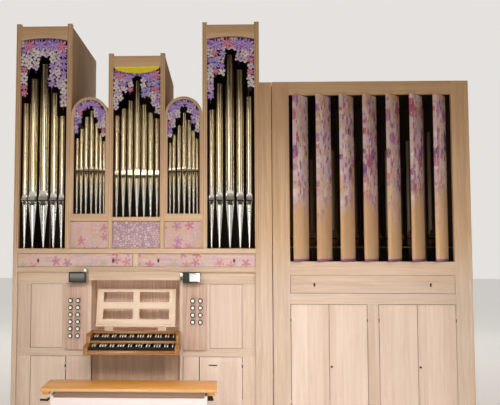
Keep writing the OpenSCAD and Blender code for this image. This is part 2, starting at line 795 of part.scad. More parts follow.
// Places of the sharps in an octave, after which natural they stand
sharp_steps = [1, 2, 4, 5, 6];
module sharps(front, back, top) {
    for (k = [1 : 32])
        if (len(search((k - 1) % 7 + 1, sharp_steps)) > 0)
            board(-keys_w / 2 + k * natural_pitch - 5, -keys_w / 2 + k * natural_pitch + 5,
                  front, back - 8, top, top + 12);
    board(-keys_w / 2, keys_w / 2, back - 8, back, top, top + 6);
}

module manual_sharps() color("ivory") {
    sharps(-natural_front + 50, -8, lower_keys_z);
    sharps(-natural_front + manual_set + 50, -8, upper_keys_z);
}

// Pedalboard: a frame with natural and sharp pedals between its ends
module pedalboard() color(honey) {
    front = pedal_back - pedal_l;
    half = pedal_half;
    both() board(half + pedal_cheek_gap, pedal_end, front, pedal_back, 0, pedal_z + 15);
    board(-half - 6, half + 6, front, front + 30, 0, pedal_z);
    board(-half - 6, half + 6, pedal_back - 60, pedal_back, 0, pedal_z + 20);
    for (k = [0 : pedal_n - 1])
        board(-half + (k + 0.5) * pedal_pitch - pedal_w / 2,
              -half + (k + 0.5) * pedal_pitch + pedal_w / 2,
              front + 30, pedal_back - 60, pedal_z - 30, pedal_z);
    for (k = [1 : pedal_n - 1])
        if (len(search((k - 1) % 7 + 1, sharp_steps)) > 0)
            board(-half + k * pedal_pitch - pedal_w / 2, -half + k * pedal_pitch + pedal_w / 2,
                  pedal_back - 60 - sharp_pedal_l, pedal_back - 60, pedal_z - 25, pedal_z + 27);
}

module mirrors_and_lamps() color("dimgray") {
    for (side = [-1, 1]) {
        x = side * (n0 + mirror_side);
        board(x - mirror_w / 2, x + mirror_w / 2, -mirror_out, -mirror_out + mirror_t,
              mirror_z, mirror_z + mirror_h);
        board(x - 12, x + 12, -mirror_out + mirror_t, lower_set,
              mirror_z + mirror_h / 2 - 12, mirror_z + mirror_h / 2 + 12);
    }
    lamp(-(n0 + 38), frieze_z - 24, 0);
    lamp(n0 + 20, frieze_rail_z - 14, lower_set);
}

// A small spot lamp on a stem that ends in the wall at wall_y
module lamp(x, z, wall_y) {
    translate([x, -lamp_out, z]) rotate([-90, 0, 0]) cylinder(h = lamp_l, d = lamp_d);
    translate([x, -lamp_out + lamp_l - 1, z]) rotate([-90, 0, 0])
        cylinder(h = lamp_out - lamp_l + 1 + wall_y, d = 8);
}

// The board between the cases, with battens behind it that reach the swell case
module filler_board() color(limed) {
    board(x6, x6 + filler_w, 6, 6 + board_t, 0, swell_top_z);
    for (z = [0.15, 0.5, 0.85] * swell_top_z)
        board(x6 + filler_w - 40, s0, 6 + board_t - 4, 6 + board_t + 16, z, z + 40);
}

module swell_chest() color(limed)
    board(s0 + 10 + wall_t, s3 - 10 - wall_t, chest_y, chest_y + chest_d,
          chest_z, chest_z + chest_t);

module swell_pipes() color(tin) {
    for (k = [0 : 13])
        pipe(s1 + swell_pipe_inset + k * (s2 - s1 - 2 * swell_pipe_inset) / 13, swell_pipe_y,
             chest_z + chest_t, swell_foot_h, swell_pipe_d * (1 + 0.2 * ((k * 5) % 3)),
             chest_z + chest_t + swell_pipe_h * (1 + 0.095 * ((k * 3) % 5)));
    board(s0 + 10 + wall_t, s3 - 10 - wall_t, rack_y, rack_y + rack_t, rack_z, rack_z + rack_h);
}

module bench_base() color([0.90, 0.88, 0.84]) {
    difference() {
        union() {
            board(bench_l0, bench_l0 + base_t, base_front, base_back, 0, bearer_z);
            board(bench_l0 - plate_t, bench_l0 + 1, crank_y - 22, crank_y + 22,
                  crank_z - 40, bearer_z - 6);
        }
        translate([bench_l0 - plate_t - 1, crank_y, crank_z]) rotate([0, 90, 0])
            cylinder(h = plate_t + base_t + 2, d = crank_shaft_d + 0.2);
    }
    board(bench_l1 - base_t, bench_l1, base_front, base_back, 0, bearer_z);
    upright(crank_y - 20, crank_y + 20)
        polygon([[bench_l1 - 1, bearer_z - 14 - bracket_h],
                 [bench_l1 + bracket_w, bearer_z - 14 - bracket_h],
                 [bench_l1 + bracket_w * 0.7, bearer_z - 14], [bench_l1 - 1, bearer_z - 14]]);
    board(bench_l0 + base_t, bench_l1 - base_t, base_front, base_front + base_board_t, 60,
          seat_z - seat_t - bench_front_drop);
    board(bench_l0 + base_t, bench_l1 - base_t, base_back - 22, base_back, 150, 190);
}

module bench_seat() color(honey) {
    apron_y = base_front + base_board_t + 6;
    board(bench_x - seat_l / 2, bench_x + seat_l / 2, -seat_out, -seat_out + seat_d,
          seat_z - seat_t, seat_z);
    board(bench_l0 + base_t + 6, bench_l1 - base_t - 6, apron_y, apron_y + base_board_t,
          seat_z - seat_t - bench_front_drop - 8, seat_z - seat_t);
    for (side = [-1, 1]) {
        xa = side < 0 ? bench_l0 - plate_t - 6 - bearer_w : bench_l1 + 6;
        board(xa, xa + bearer_w, base_front + 25, base_back - 10, bearer_z, seat_z - seat_t);
        xb = side < 0 ? bench_l0 + base_t + 6 : bench_l1 - base_t - 28;
        board(xb, xb + 22, base_front + 50, base_back - 50, seat_z - slide_l, seat_z - seat_t);
    }
}

module bench_crank() color([0.1, 0.1, 0.1]) {
    translate([bench_l0 - 38, crank_y, crank_z]) {
        rotate([0, 90, 0]) cylinder(h = 66, d = crank_shaft_d);
        board(-10, 0, -crank_r - 9, 9, -9, 9);
        translate([-64, -crank_r, 0]) rotate([0, 90, 0]) cylinder(h = 58, d = crank_grip_d);
    }
}

// Heights of the two hinges on a leaf from za to zb
function hinge_heights(za, zb) = [za + 0.12 * (zb - za), zb - 0.12 * (zb - za) - hinge_l];

// A leaf from xa to xb whose front is at y, with the knuckles that turn on its pins
module door_leaf(xa, xb, y, za, zb, hinge_x) {
    pin_y = y - hinge_d / 2 - 1;
    plate_x = hinge_x < xa ? xa + hinge_plate_w : xb - hinge_plate_w;
    board(xa, xb, y, y + board_t, za, zb);
    for (z = hinge_heights(za, zb)) difference() {
        union() {
            translate([hinge_x, pin_y, z]) cylinder(h = hinge_l, d = hinge_d);
            board(min(hinge_x, plate_x), max(hinge_x, plate_x), y - 3, y, z, z + hinge_l);
        }
        translate([hinge_x, pin_y, z - 1]) cylinder(h = hinge_l + 2, d = hinge_pin_d + 0.2);
    }
}

// The fixed half of a leaf's hinges: pins, outer knuckles and plates on a face at face_y
module fixed_hinges(hinge_x, y, za, zb, side, face_y) {
    pin_y = y - hinge_d / 2 - 1;
    plate_x = hinge_x + side * (hinge_plate_w + door_gap / 2);
    for (z = hinge_heights(za, zb)) {
        translate([hinge_x, pin_y, z - hinge_end_l])
            cylinder(h = hinge_l + 2 * hinge_end_l, d = hinge_pin_d);
        for (z0 = [z - hinge_end_l, z + hinge_l + 0.5]) {
            translate([hinge_x, pin_y, z0]) cylinder(h = hinge_end_l - 0.5, d = hinge_d);
            board(min(hinge_x, plate_x), max(hinge_x, plate_x), min(y - 3, face_y - 3), face_y,
                  z0, z0 + hinge_end_l - 0.5);
        }
    }
}

module left_door() color(limed)
    door_leaf(left_hinge_x - door_gap / 2 - left_door_w, left_hinge_x - door_gap / 2,
              lower_set, leaf_z0, mid_rail_z - door_gap, left_hinge_x);

module right_door() color(limed) difference() {
    door_leaf(right_hinge_x - door_gap / 2 - right_door_w, right_hinge_x - door_gap / 2,
              lower_set, leaf_z0, mid_rail_z - door_gap, right_hinge_x);
    grip_x = right_hinge_x - right_door_w + 90;
    grip_z = mid_rail_z - grip_drop;
    board(grip_x, grip_x + 66, lower_set - 1, lower_set + board_t + 1, grip_z - 7, grip_z + 7);
    for (x = [grip_x, grip_x + 66]) translate([x, lower_set - 1, grip_z])
        rotate([-90, 0, 0]) cylinder(h = board_t + 2, d = 14);
}

// Leaf k of the cupboard under the swell case, 1 to 4 from the left
function leaf_hinge(k) = k == 1 ? s1 + door_gap / 2
    : k == 2 ? s_mid - swell_mid_w / 2 - door_gap / 2
    : k == 3 ? s_mid + swell_mid_w / 2 + door_gap / 2
    : s2 - door_gap / 2;

module swell_door(k) color(limed) {
    h = leaf_hinge(k);
    left_hung = k == 1 || k == 3;
    xa = left_hung ? h + door_gap / 2 : h - door_gap / 2 - leaf_w;
    door_leaf(xa, xa + leaf_w, 0, leaf_z0, swell_door_top - door_gap, h);
    if (!left_hung) translate([xa + 16, -16, swell_knob_z]) rotate([-90, 0, 0])
        cylinder(h = 16, d = 18);
}

module louvre(k) color([0.76, 0.60, 0.44]) {
    translate([s1 + (k - 0.5) * louvre_pitch, louvre_pivot_y, sill_top_z + louvre_end_gap])
        rotate([0, 0, louvre_open]) {
            board(-louvre_w / 2, louvre_w / 2, -louvre_t / 2, louvre_t / 2, 0, louvre_h);
            translate([0, 0, -louvre_pin_l + 1]) cylinder(h = louvre_pin_l, d = louvre_pin_d);
            translate([0, 0, louvre_h - 1]) cylinder(h = louvre_pin_l, d = louvre_pin_d);
        }
}

case_posts();
case_rails();
case_stiles();
top_rails();
flat_arches();
flat_vaults();
side_walls();
back_walls();
roofs();
pipe_shades();
front_pipes();
wall_panels();
access_boards();
stop_jambs();
console_niche();
music_desk();
key_desk();
manual_naturals();
manual_sharps();
pedalboard();
mirrors_and_lamps();
filler_board();
swell_chest();
swell_pipes();
bench_base();
bench_seat();
bench_crank();
left_door();
right_door();
swell_door(1);  // swell_door_1
swell_door(2);  // swell_door_2
swell_door(3);  // swell_door_3
swell_door(4);  // swell_door_4
louvre(1);  // louvre_1
louvre(2);  // louvre_2
louvre(3);  // louvre_3
louvre(4);  // louvre_4
louvre(5);  // louvre_5
louvre(6);  // louvre_6
louvre(7);  // louvre_7
stop_knob(-1, 0);  // stop_l1
stop_knob(-1, 1);  // stop_l2
stop_knob(-1, 2);  // stop_l3
stop_knob(-1, 3);  // stop_l4
stop_knob(-1, 4);  // stop_l5
stop_knob(-1, 5);  // stop_l6
stop_knob(-1, 6);  // stop_l7
stop_knob(-1, 7);  // stop_l8
stop_knob(-1, 8);  // stop_l9
stop_knob(-1, 9);  // stop_l10
stop_knob(-1, 10);  // stop_l11
stop_knob(-1, 11);  // stop_l12
stop_knob(1, 0);  // stop_r1
stop_knob(1, 1);  // stop_r2
stop_knob(1, 2);  // stop_r3
stop_knob(1, 3);  // stop_r4
stop_knob(1, 4);  // stop_r5
stop_knob(1, 5);  // stop_r6
stop_knob(1, 6);  // stop_r7
stop_knob(1, 7);  // stop_r8
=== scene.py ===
# Looks of the two-manual pipe organ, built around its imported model.
# Metres; X right, Y back, Z up; the floor is at Z = 0.
import json
import math
import random

import bpy
import bmesh
from mathutils import Matrix, Vector

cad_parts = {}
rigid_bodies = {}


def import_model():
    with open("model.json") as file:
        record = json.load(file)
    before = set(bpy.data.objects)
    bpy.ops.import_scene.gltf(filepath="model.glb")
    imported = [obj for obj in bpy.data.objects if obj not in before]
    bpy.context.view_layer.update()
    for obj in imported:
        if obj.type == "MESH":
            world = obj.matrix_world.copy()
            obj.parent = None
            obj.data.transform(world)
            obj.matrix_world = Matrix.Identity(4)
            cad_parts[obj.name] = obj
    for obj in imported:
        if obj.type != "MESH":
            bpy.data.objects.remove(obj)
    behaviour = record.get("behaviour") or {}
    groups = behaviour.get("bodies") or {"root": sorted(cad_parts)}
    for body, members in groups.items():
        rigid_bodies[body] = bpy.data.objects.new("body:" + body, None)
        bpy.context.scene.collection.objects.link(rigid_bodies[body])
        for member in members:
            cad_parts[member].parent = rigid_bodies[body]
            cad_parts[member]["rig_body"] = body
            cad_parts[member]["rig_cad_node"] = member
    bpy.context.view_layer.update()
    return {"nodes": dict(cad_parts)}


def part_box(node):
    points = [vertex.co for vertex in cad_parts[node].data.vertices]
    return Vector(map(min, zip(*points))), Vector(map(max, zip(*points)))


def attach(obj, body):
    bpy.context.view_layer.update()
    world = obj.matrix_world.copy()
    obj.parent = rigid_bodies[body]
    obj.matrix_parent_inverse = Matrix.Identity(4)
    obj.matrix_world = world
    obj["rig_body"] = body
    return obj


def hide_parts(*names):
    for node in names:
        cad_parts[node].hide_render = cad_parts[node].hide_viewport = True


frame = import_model()
bpy.ops.object.select_all(action="DESELECT")
print("frame loaded")


# Small helpers

def deselectAll():
    if bpy.context.object and bpy.context.object.mode != "OBJECT":
        bpy.ops.object.mode_set(mode="OBJECT")
    for o in bpy.context.selected_objects:
        o.select_set(False)


def makeActive(o):
    deselectAll()
    o.select_set(True)
    bpy.context.view_layer.objects.active = o


def editOnly(o, kind, indices):
    # opens edit mode with only the given faces or points selected
    makeActive(o)
    bpy.ops.object.mode_set(mode="EDIT")
    bpy.ops.mesh.select_mode(type=kind)
    bpy.ops.mesh.select_all(action="DESELECT")
    bpy.ops.object.mode_set(mode="OBJECT")
    items = o.data.polygons if kind == "FACE" else o.data.vertices
    for i in indices:
        items[i].select = True
    bpy.ops.object.mode_set(mode="EDIT")


def lastFace(o, axis, side):
    # index of the face that lies furthest along an axis
    return max(o.data.polygons, key=lambda f: side * f.center[axis]).index


def applyPlace(o):
    makeActive(o)
    bpy.ops.object.transform_apply(location=True, rotation=True, scale=True)


def editAll(o):
    makeActive(o)
    bpy.ops.object.mode_set(mode="EDIT")
    bpy.ops.mesh.select_all(action="SELECT")


def faceOutward():
    # turns all faces of the open mesh outward and leaves edit mode
    bpy.ops.mesh.select_all(action="SELECT")
    bpy.ops.mesh.normals_make_consistent(inside=False)
    bpy.ops.object.mode_set(mode="OBJECT")


def addCube(place, size):
    bpy.ops.mesh.primitive_cube_add(size=1, location=place, scale=size)
    o = bpy.context.object
    applyPlace(o)
    return o


def applyModifiers(o):
    makeActive(o)
    for m in list(o.modifiers):
        bpy.ops.object.modifier_apply(modifier=m.name)


def joinAll(parts, name):
    makeActive(parts[0])
    for p in parts:
        p.select_set(True)
    if len(parts) > 1:
        bpy.ops.object.join()
    o = bpy.context.view_layer.objects.active
    o.name = name
    o.data.name = name
    deselectAll()
    return o


def softenEdges(o, width, segments=2):
    m = o.modifiers.new("bevel", "BEVEL")
    m.width = width
    m.segments = segments
    m.limit_method = "ANGLE"
    m.angle_limit = math.radians(40)
    m.use_clamp_overlap = True
    applyModifiers(o)


def smoothByAngle(o, angle=35):
    makeActive(o)
    bpy.ops.object.shade_smooth_by_angle(angle=math.radians(angle))
    deselectAll()


def paint(o, *materials):
    o.data.materials.clear()
    for m in materials:
        o.data.materials.append(m)


def finishPiece(o, body, slot, *nodes):
    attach(o, body)
    if nodes:
        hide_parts(*nodes)
    return o


def linkGroups(mesh):
    # lists of the faces of each separate solid
    bm = bmesh.new()
    bm.from_mesh(mesh)
    seen, groups = {}, []
    for start in bm.faces:
        if start.index in seen:
            continue
        stack, members = [start], []
        seen[start.index] = len(groups)
        while stack:
            f = stack.pop()
            members.append(f.index)
            for e in f.edges:
                for g in e.link_faces:
                    if g.index not in seen:
                        seen[g.index] = len(groups)
                        stack.append(g)
        groups.append(members)
    bm.free()
    return groups


def cornersOf(mesh, members):
    # lowest and highest corner of one separate solid
    co = [mesh.vertices[v].co for i in members for v in mesh.polygons[i].vertices]
    low = Vector([min(c[k] for c in co) for k in range(3)])
    high = Vector([max(c[k] for c in co) for k in range(3)])
    return low, high


def cleanCopy(node, name):
    # a plain copy of a CAD node with its doubled points merged
    o = frame["nodes"][node].copy()
    o.data = o.data.copy()
    o.name = name
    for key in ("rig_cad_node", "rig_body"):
        if key in o:
            del o[key]
    o.parent = None
    o.hide_render = o.hide_viewport = False
    bpy.context.scene.collection.objects.link(o)
    editAll(o)
    bpy.ops.mesh.remove_doubles(threshold=0.00002)
    bpy.ops.mesh.dissolve_limited(angle_limit=math.radians(1.5))
    bpy.ops.object.mode_set(mode="OBJECT")
    deselectAll()
    return o


def tonePerBoard(o, seed):
    # each separate board gets a tone of its own, kept as an attribute
    rng = random.Random(seed)
    tone = o.data.attributes.new("boardTone", "FLOAT", "FACE")
    values = [0.0] * len(o.data.polygons)
    for members in linkGroups(o.data):
        t = rng.uniform(-1, 1)
        for i in members:
            values[i] = t
    tone.data.foreach_set("value", values)


def copyPart(master, place, turn=0.0, size=1.0, material=None):
    # a copy with its own mesh, turned about Y, sized across and set in place
    o = master.copy()
    o.data = master.data.copy()
    bpy.context.scene.collection.objects.link(o)
    o.data.transform(Matrix.Translation(place) @ Matrix.Rotation(turn, 4, "Y")
                     @ Matrix.Diagonal((size, 1.0, size, 1.0)))
    if material:
        paint(o, material)
    return o


def partBoxes(node):
    # the corners of each separate solid of a CAD node
    o = cleanCopy(node, "measure")
    boxes = [cornersOf(o.data, members) for members in linkGroups(o.data)]
    bpy.data.objects.remove(o)
    return sorted(boxes, key=lambda b: (round(b[0].z, 3), b[0].x))


# Shader groups shared by the materials

def newGroup(name, inputs, outputs):
    g = bpy.data.node_groups.new(name, "ShaderNodeTree")
    kinds = {"f": "NodeSocketFloat", "v": "NodeSocketVector", "c": "NodeSocketColor"}
    for key, kind, value in inputs:
        s = g.interface.new_socket(name=key, in_out="INPUT", socket_type=kinds[kind])
        if value is not None:
            s.default_value = value
    for key, kind in outputs:
        g.interface.new_socket(name=key, in_out="OUTPUT", socket_type=kinds[kind])
    return g, g.nodes.new("NodeGroupInput"), g.nodes.new("NodeGroupOutput")


class Wires:
    # short calls for adding and linking shader nodes

    def __init__(self, tree):
        self.tree = tree

    def feed(self, socket, value):
        if value is None:
            return
        if isinstance(value, bpy.types.NodeSocket):
            self.tree.links.new(value, socket)
        else:
            socket.default_value = value

    def math(self, op, a, b=None, clamp=False):
        n = self.tree.nodes.new("ShaderNodeMath")
        n.operation = op
        n.use_clamp = clamp
        self.feed(n.inputs[0], a)
        self.feed(n.inputs[1], b)
        return n.outputs[0]

    def times(self, a, b):
        return self.math("MULTIPLY", a, b)

    def plus(self, a, b, clamp=False):
        return self.math("ADD", a, b, clamp)

    def minus(self, a, b):
        return self.math("SUBTRACT", a, b)

    def vec(self, op, a, b=None):
        n = self.tree.nodes.new("ShaderNodeVectorMath")
        n.operation = op
        self.feed(n.inputs[0], a)
        self.feed(n.inputs[1], b)
        return n.outputs[0]

    def combine(self, x, y, z):
        n = self.tree.nodes.new("ShaderNodeCombineXYZ")
        for i, v in enumerate((x, y, z)):
            self.feed(n.inputs[i], v)
        return n.outputs[0]

    def split(self, v):
        n = self.tree.nodes.new("ShaderNodeSeparateXYZ")
        self.feed(n.inputs[0], v)
        return n.outputs

    def noise(self, v, scale, detail=2.0, rough=0.5, distortion=0.0):
        # scale is one number, or one for each axis
        if not isinstance(scale, tuple):
            scale = (scale, scale, scale)
        scaled = self.vec("MULTIPLY", v, scale)
        n = self.tree.nodes.new("ShaderNodeTexNoise")
        self.feed(n.inputs["Vector"], scaled)
        for key, value in (("Scale", 1.0), ("Detail", detail), ("Roughness", rough),
                           ("Distortion", distortion)):
            self.feed(n.inputs[key], value)
        return n.outputs["Fac"]

    def cells(self, v, feature="F1", scale=1.0, randomness=1.0):
        n = self.tree.nodes.new("ShaderNodeTexVoronoi")
        n.feature = feature
        n.voronoi_dimensions = "2D"
        self.feed(n.inputs["Vector"], v)
        self.feed(n.inputs["Scale"], scale)
        self.feed(n.inputs["Randomness"], randomness)
        return n

    def mix(self, fac, a, b, mode="MIX"):
        n = self.tree.nodes.new("ShaderNodeMix")
        n.data_type = "RGBA"
        n.blend_type = mode
        n.clamp_factor = True
        self.feed(n.inputs[0], fac)
        self.feed(n.inputs[6], a)
        self.feed(n.inputs[7], b)
        return n.outputs[2]

    def dim(self, colour, share):
        # a colour with all its channels taken down to a share
        return self.mix(1.0, colour, self.combine(share, share, share), mode="MULTIPLY")

    def remap(self, v, a, b, c=0.0, d=1.0):
        n = self.tree.nodes.new("ShaderNodeMapRange")
        self.feed(n.inputs["Value"], v)
        for key, value in (("From Min", a), ("From Max", b), ("To Min", c), ("To Max", d)):
            self.feed(n.inputs[key], value)
        return n.outputs[0]

    def ramp(self, fac, stops, constant=False):
        n = self.tree.nodes.new("ShaderNodeValToRGB")
        if constant:
            n.color_ramp.interpolation = "CONSTANT"
        e = n.color_ramp.elements
        while len(e) < len(stops):
            e.new(0.5)
        for i, (pos, colour) in enumerate(stops):
            e[i].position = pos
            e[i].color = (*colour, 1)
        self.feed(n.inputs[0], fac)
        return n.outputs[0]

    def group(self, tree, **values):
        n = self.tree.nodes.new("ShaderNodeGroup")
        n.node_tree = tree
        for key, v in values.items():
            self.feed(n.inputs[key], v)
        return n.outputs


def buildGrain():
    # wood whose grain runs along Z of the vector: streaks, pores, glued boards
    g, i, o = newGroup("woodGrain", [
        ("Vector", "v", None), ("Tone", "f", 0.0), ("Light", "c", (1, 1, 1, 1)),
        ("Dark", "c", (0, 0, 0, 1)), ("BoardWidth", "f", 0.14), ("Streak", "f", 0.5),
        ("Pores", "f", 0.3), ("BoardSpread", "f", 0.5), ("Seam", "f", 0.2)],
        [("Colour", "c"), ("Rough", "f"), ("Height", "f")])
    w = Wires(g)
    x, y, z = w.split(i.outputs["Vector"])
    across = w.plus(x, w.times(i.outputs["Tone"], 3.7))
    boards = w.math("DIVIDE", across, i.outputs["BoardWidth"])
    index = w.math("FLOOR", boards)
    pick = g.nodes.new("ShaderNodeTexWhiteNoise")
    pick.noise_dimensions = "1D"
    w.feed(pick.inputs["W"], index)
    own = pick.outputs["Value"]
    shift = w.combine(w.times(own, 5.0), w.times(i.outputs["Tone"], 9.0), w.times(own, 31.0))
    p = w.vec("ADD", i.outputs["Vector"], shift)
    broad = w.noise(p, (9.0, 9.0, 0.55), 3.0, 0.55, 0.4)
    streak = w.noise(p, (62.0, 62.0, 1.6), 4.0, 0.6, 0.6)
    pores = w.noise(p, (520.0, 520.0, 16.0), 2.0, 0.6)
    rings = w.noise(p, (15.0, 15.0, 0.8), 1.0, 0.4, 1.2)
    rings = w.math("PINGPONG", w.times(rings, 9.0), 1.0)
    edge = w.math("ABSOLUTE", w.minus(w.math("FRACT", boards), 0.5))
    seam = w.remap(edge, 0.5 - 0.006, 0.5 - 0.001)
    value = w.times(w.minus(streak, 0.5), w.times(i.outputs["Streak"], 1.5))
    value = w.plus(value, w.times(w.minus(broad, 0.5), 0.9))
    value = w.plus(value, w.times(w.minus(rings, 0.5), w.times(i.outputs["Streak"], 0.34)))
    value = w.plus(value, w.times(w.minus(own, 0.5), i.outputs["BoardSpread"]))
    value = w.plus(value, w.times(i.outputs["Tone"], 0.10))
    value = w.plus(value, w.times(w.minus(pores, 0.5), i.outputs["Pores"]))
    value = w.plus(value, 0.42)
    value = w.plus(value, w.times(seam, i.outputs["Seam"]), clamp=True)
    w.feed(o.inputs["Colour"], w.mix(value, i.outputs["Light"], i.outputs["Dark"]))
    w.feed(o.inputs["Rough"], w.remap(pores, 0.3, 0.7, 0.48, 0.66))
    height = w.minus(w.times(pores, 0.5), seam)
    w.feed(o.inputs["Height"], w.plus(height, w.times(streak, 0.3)))
    return g


def buildDabs():
    # mask of loose brush dabs on a flat vector (across, along), with a pick per dab
    g, i, o = newGroup("brushDabs", [
        ("Vector", "v", None), ("Across", "f", 30.0), ("Along", "f", 11.0), ("Size", "f", 0.5),
        ("Cover", "f", 0.7)], [("Mask", "f"), ("Pick", "f")])
    w = Wires(g)
    x, y, z = w.split(i.outputs["Vector"])
    wob = w.noise(i.outputs["Vector"], 40.0, 3.0, 0.6)
    wobble = w.times(w.minus(wob, 0.5), 0.75)
    u = w.plus(w.times(x, i.outputs["Across"]), wobble)
    v = w.plus(w.times(z, i.outputs["Along"]), wobble)
    cell = w.cells(w.combine(u, v, 0.0))
    pick = w.split(cell.outputs["Color"])
    size = w.times(i.outputs["Size"], w.plus(w.times(pick[1], 0.7), 0.5))
    inside = w.minus(size, cell.outputs["Distance"])
    shape = w.remap(inside, 0.0, 0.09)
    kept = w.math("LESS_THAN", pick[2], i.outputs["Cover"])
    w.feed(o.inputs["Mask"], w.times(shape, kept))
    w.feed(o.inputs["Pick"], pick[0])
    return g


def buildMotif():
    # loose five-lobed leaves and small rounds on a flat vector (across, up)
    g, i, o = newGroup("vineMotif", [
        ("Vector", "v", None), ("LeafScale", "f", 9.0), ("LeafShare", "f", 0.5), ("RoundScale", "f", 30.0)],
        [("Leaf", "f"), ("Vein", "f"), ("LeafPick", "f"), ("Round", "f"), ("Rim", "f"), ("RoundPick", "f")])
    w = Wires(g)
    x, y, z = w.split(i.outputs["Vector"])
    flat = w.combine(x, z, 0.0)
    scale = i.outputs["LeafScale"]
    cell = w.cells(flat, scale=scale, randomness=0.7)
    pick = w.split(cell.outputs["Color"])
    local = w.split(w.vec("SUBTRACT", flat, cell.outputs["Position"]))
    u = w.times(local[0], scale)
    v = w.times(local[1], scale)
    turn = w.times(w.minus(pick[1], 0.5), 2.4)
    angle = w.plus(w.math("ARCTAN2", u, w.times(v, -1.0)), turn)
    lobe = w.math("ABSOLUTE", w.math("COSINE", w.times(angle, 2.5)))
    reach = w.plus(w.times(w.math("POWER", lobe, 1.6), 0.33), 0.12)
    away = w.math("SQRT", w.plus(w.times(u, u), w.times(v, v)))
    kept = w.math("LESS_THAN", pick[0], i.outputs["LeafShare"])
    leaf = w.times(w.remap(w.minus(reach, away), 0.0, 0.035), kept)
    bead = w.cells(flat, scale=i.outputs["RoundScale"], randomness=0.65)
    zone = w.remap(w.noise(flat, (11.0, 15.0, 1.0), 1.0, 0.5), 0.44, 0.50)
    disc = w.remap(w.minus(0.43, bead.outputs["Distance"]), 0.0, 0.07)
    w.feed(o.inputs["Leaf"], leaf)
    w.feed(o.inputs["Vein"], w.times(leaf, w.remap(lobe, 0.975, 0.998)))
    w.feed(o.inputs["LeafPick"], pick[2])
    w.feed(o.inputs["Round"], w.times(disc, zone))
    rim = w.remap(bead.outputs["Distance"], 0.26, 0.42)
    w.feed(o.inputs["Rim"], w.times(w.times(disc, zone), rim))
    w.feed(o.inputs["RoundPick"], w.split(bead.outputs["Color"])[0])
    return g


woodGrain = buildGrain()
brushDabs = buildDabs()
vineMotif = buildMotif()


def startMaterial(name, rough=0.5, metallic=0.0, coat=0.0):
    m = bpy.data.materials.new(name)
    m.use_nodes = True
    t = m.node_tree
    b = t.nodes["Principled BSDF"]
    for key, value in (("Roughness", rough), ("Metallic", metallic), ("Coat Weight", coat),
                       ("Coat Roughness", 0.15)):
        b.inputs[key].default_value = value
    coord = t.nodes.new("ShaderNodeTexCoord")
    return m, Wires(t), b, coord.outputs["Object"]


def addBump(w, b, height, strength, distance):
    n = w.tree.nodes.new("ShaderNodeBump")
    n.inputs["Strength"].default_value = strength
    n.inputs["Distance"].default_value = distance
    w.feed(n.inputs["Height"], height)
    w.feed(b.inputs["Normal"], n.outputs[0])


def turnGrain(w, p, run):
    # object place with the grain's direction brought onto Z
    x, y, z = w.split(p)
    if run == "x":
        return w.combine(z, y, x)
    if run == "y":
        return w.combine(x, z, y)
    return p


woodLooks = {
    # limedUp and limedAcross carry a warm tint of painted light on the upper case
    "limedUp": dict(light=(0.76, 0.61, 0.495), dark=(0.52, 0.375, 0.265), run="z",
                    streak=0.65, warmTopLight=(0.96, 0.84, 0.66)),
    "limedAcross": dict(light=(0.76, 0.61, 0.495), dark=(0.52, 0.375, 0.265), run="x",
                        streak=0.65, warmTopLight=(0.96, 0.84, 0.66)),
    "limedDeep": dict(light=(0.72, 0.56, 0.42), dark=(0.46, 0.32, 0.21), run="y"),
    "doorBoards": dict(light=(0.82, 0.67, 0.555), dark=(0.62, 0.45, 0.345), run="z",
                       width=0.145, spread=0.30, streak=0.5, seam=0.35),
    "jambWood": dict(light=(0.72, 0.525, 0.415), dark=(0.44, 0.275, 0.20), run="z",
                     width=0.11, spread=0.22, streak=0.85),
    # painted light: the niche's boards are paler than the jamb wood, to lift them out of the niche's shade
    "litNicheBoards": dict(light=(0.92, 0.72, 0.58), dark=(0.58, 0.39, 0.29), run="z",
                        width=0.11, spread=0.25, streak=0.8),
    # painted shade: the knee panel under the key desk is made darker than the other boards
    "shadedKneeBoards": dict(light=(0.56, 0.385, 0.27), dark=(0.33, 0.205, 0.135), run="z",
                       width=0.125, spread=0.3, streak=0.7, seam=0.4),
    # painted shade: a darker copy of the outer boards, for the case's flanks between its towers and for its
    # back
    "shadedSideBoards": dict(light=(0.50, 0.35, 0.23), dark=(0.26, 0.165, 0.10), run="z",
                       width=0.12, spread=0.7, streak=0.6, seam=0.4),
    "outerBoards": dict(light=(0.80, 0.61, 0.45), dark=(0.50, 0.355, 0.24), run="z",
                        width=0.12, spread=0.7, streak=0.6, seam=0.4),
    "louvreTan": dict(light=(0.74, 0.49, 0.285), dark=(0.55, 0.325, 0.165), run="z",
                      width=0.4, spread=0.1, streak=0.4),
    "deskCream": dict(light=(0.86, 0.70, 0.545), dark=(0.74, 0.56, 0.41), run="x",
                      width=0.5, spread=0.1, streak=0.35, rough=0.42),
    "honeyAcross": dict(light=(0.92, 0.44, 0.085), dark=(0.66, 0.25, 0.035), run="x",
                        width=0.1, spread=0.25, streak=0.6, coat=0.35, seam=0.15),
    "deskHoney": dict(light=(0.43, 0.185, 0.034), dark=(0.21, 0.075, 0.012), run="x",
                      width=0.3, spread=0.2, streak=0.7, coat=0.5),
    # painted light: a paler copy of the honey wood for the bench seat's lit front edge
    "litHoneyEdge": dict(light=(0.74, 0.49, 0.22), dark=(0.56, 0.33, 0.12), run="x",
                      width=0.3, spread=0.15, streak=0.5, coat=0.4),
    # painted shade: a dark brown for the seat's apron, which lies in shade under the seat
    "shadedApronBrown": dict(light=(0.40, 0.27, 0.20), dark=(0.24, 0.145, 0.10), run="x",
                       width=0.3, spread=0.2, streak=0.6),
    "paleBoard": dict(light=(0.84, 0.76, 0.74), dark=(0.70, 0.60, 0.57), run="x",
                      width=0.4, spread=0.1, streak=0.35),
    "pedalWood": dict(light=(0.62, 0.40, 0.20), dark=(0.38, 0.21, 0.09), run="y",
                      width=0.4, spread=0.2, streak=0.6),
    "shadowWood": dict(light=(0.060, 0.040, 0.026), dark=(0.022, 0.014, 0.009), run="z",
                       width=0.15, spread=0.5, streak=0.5),
}


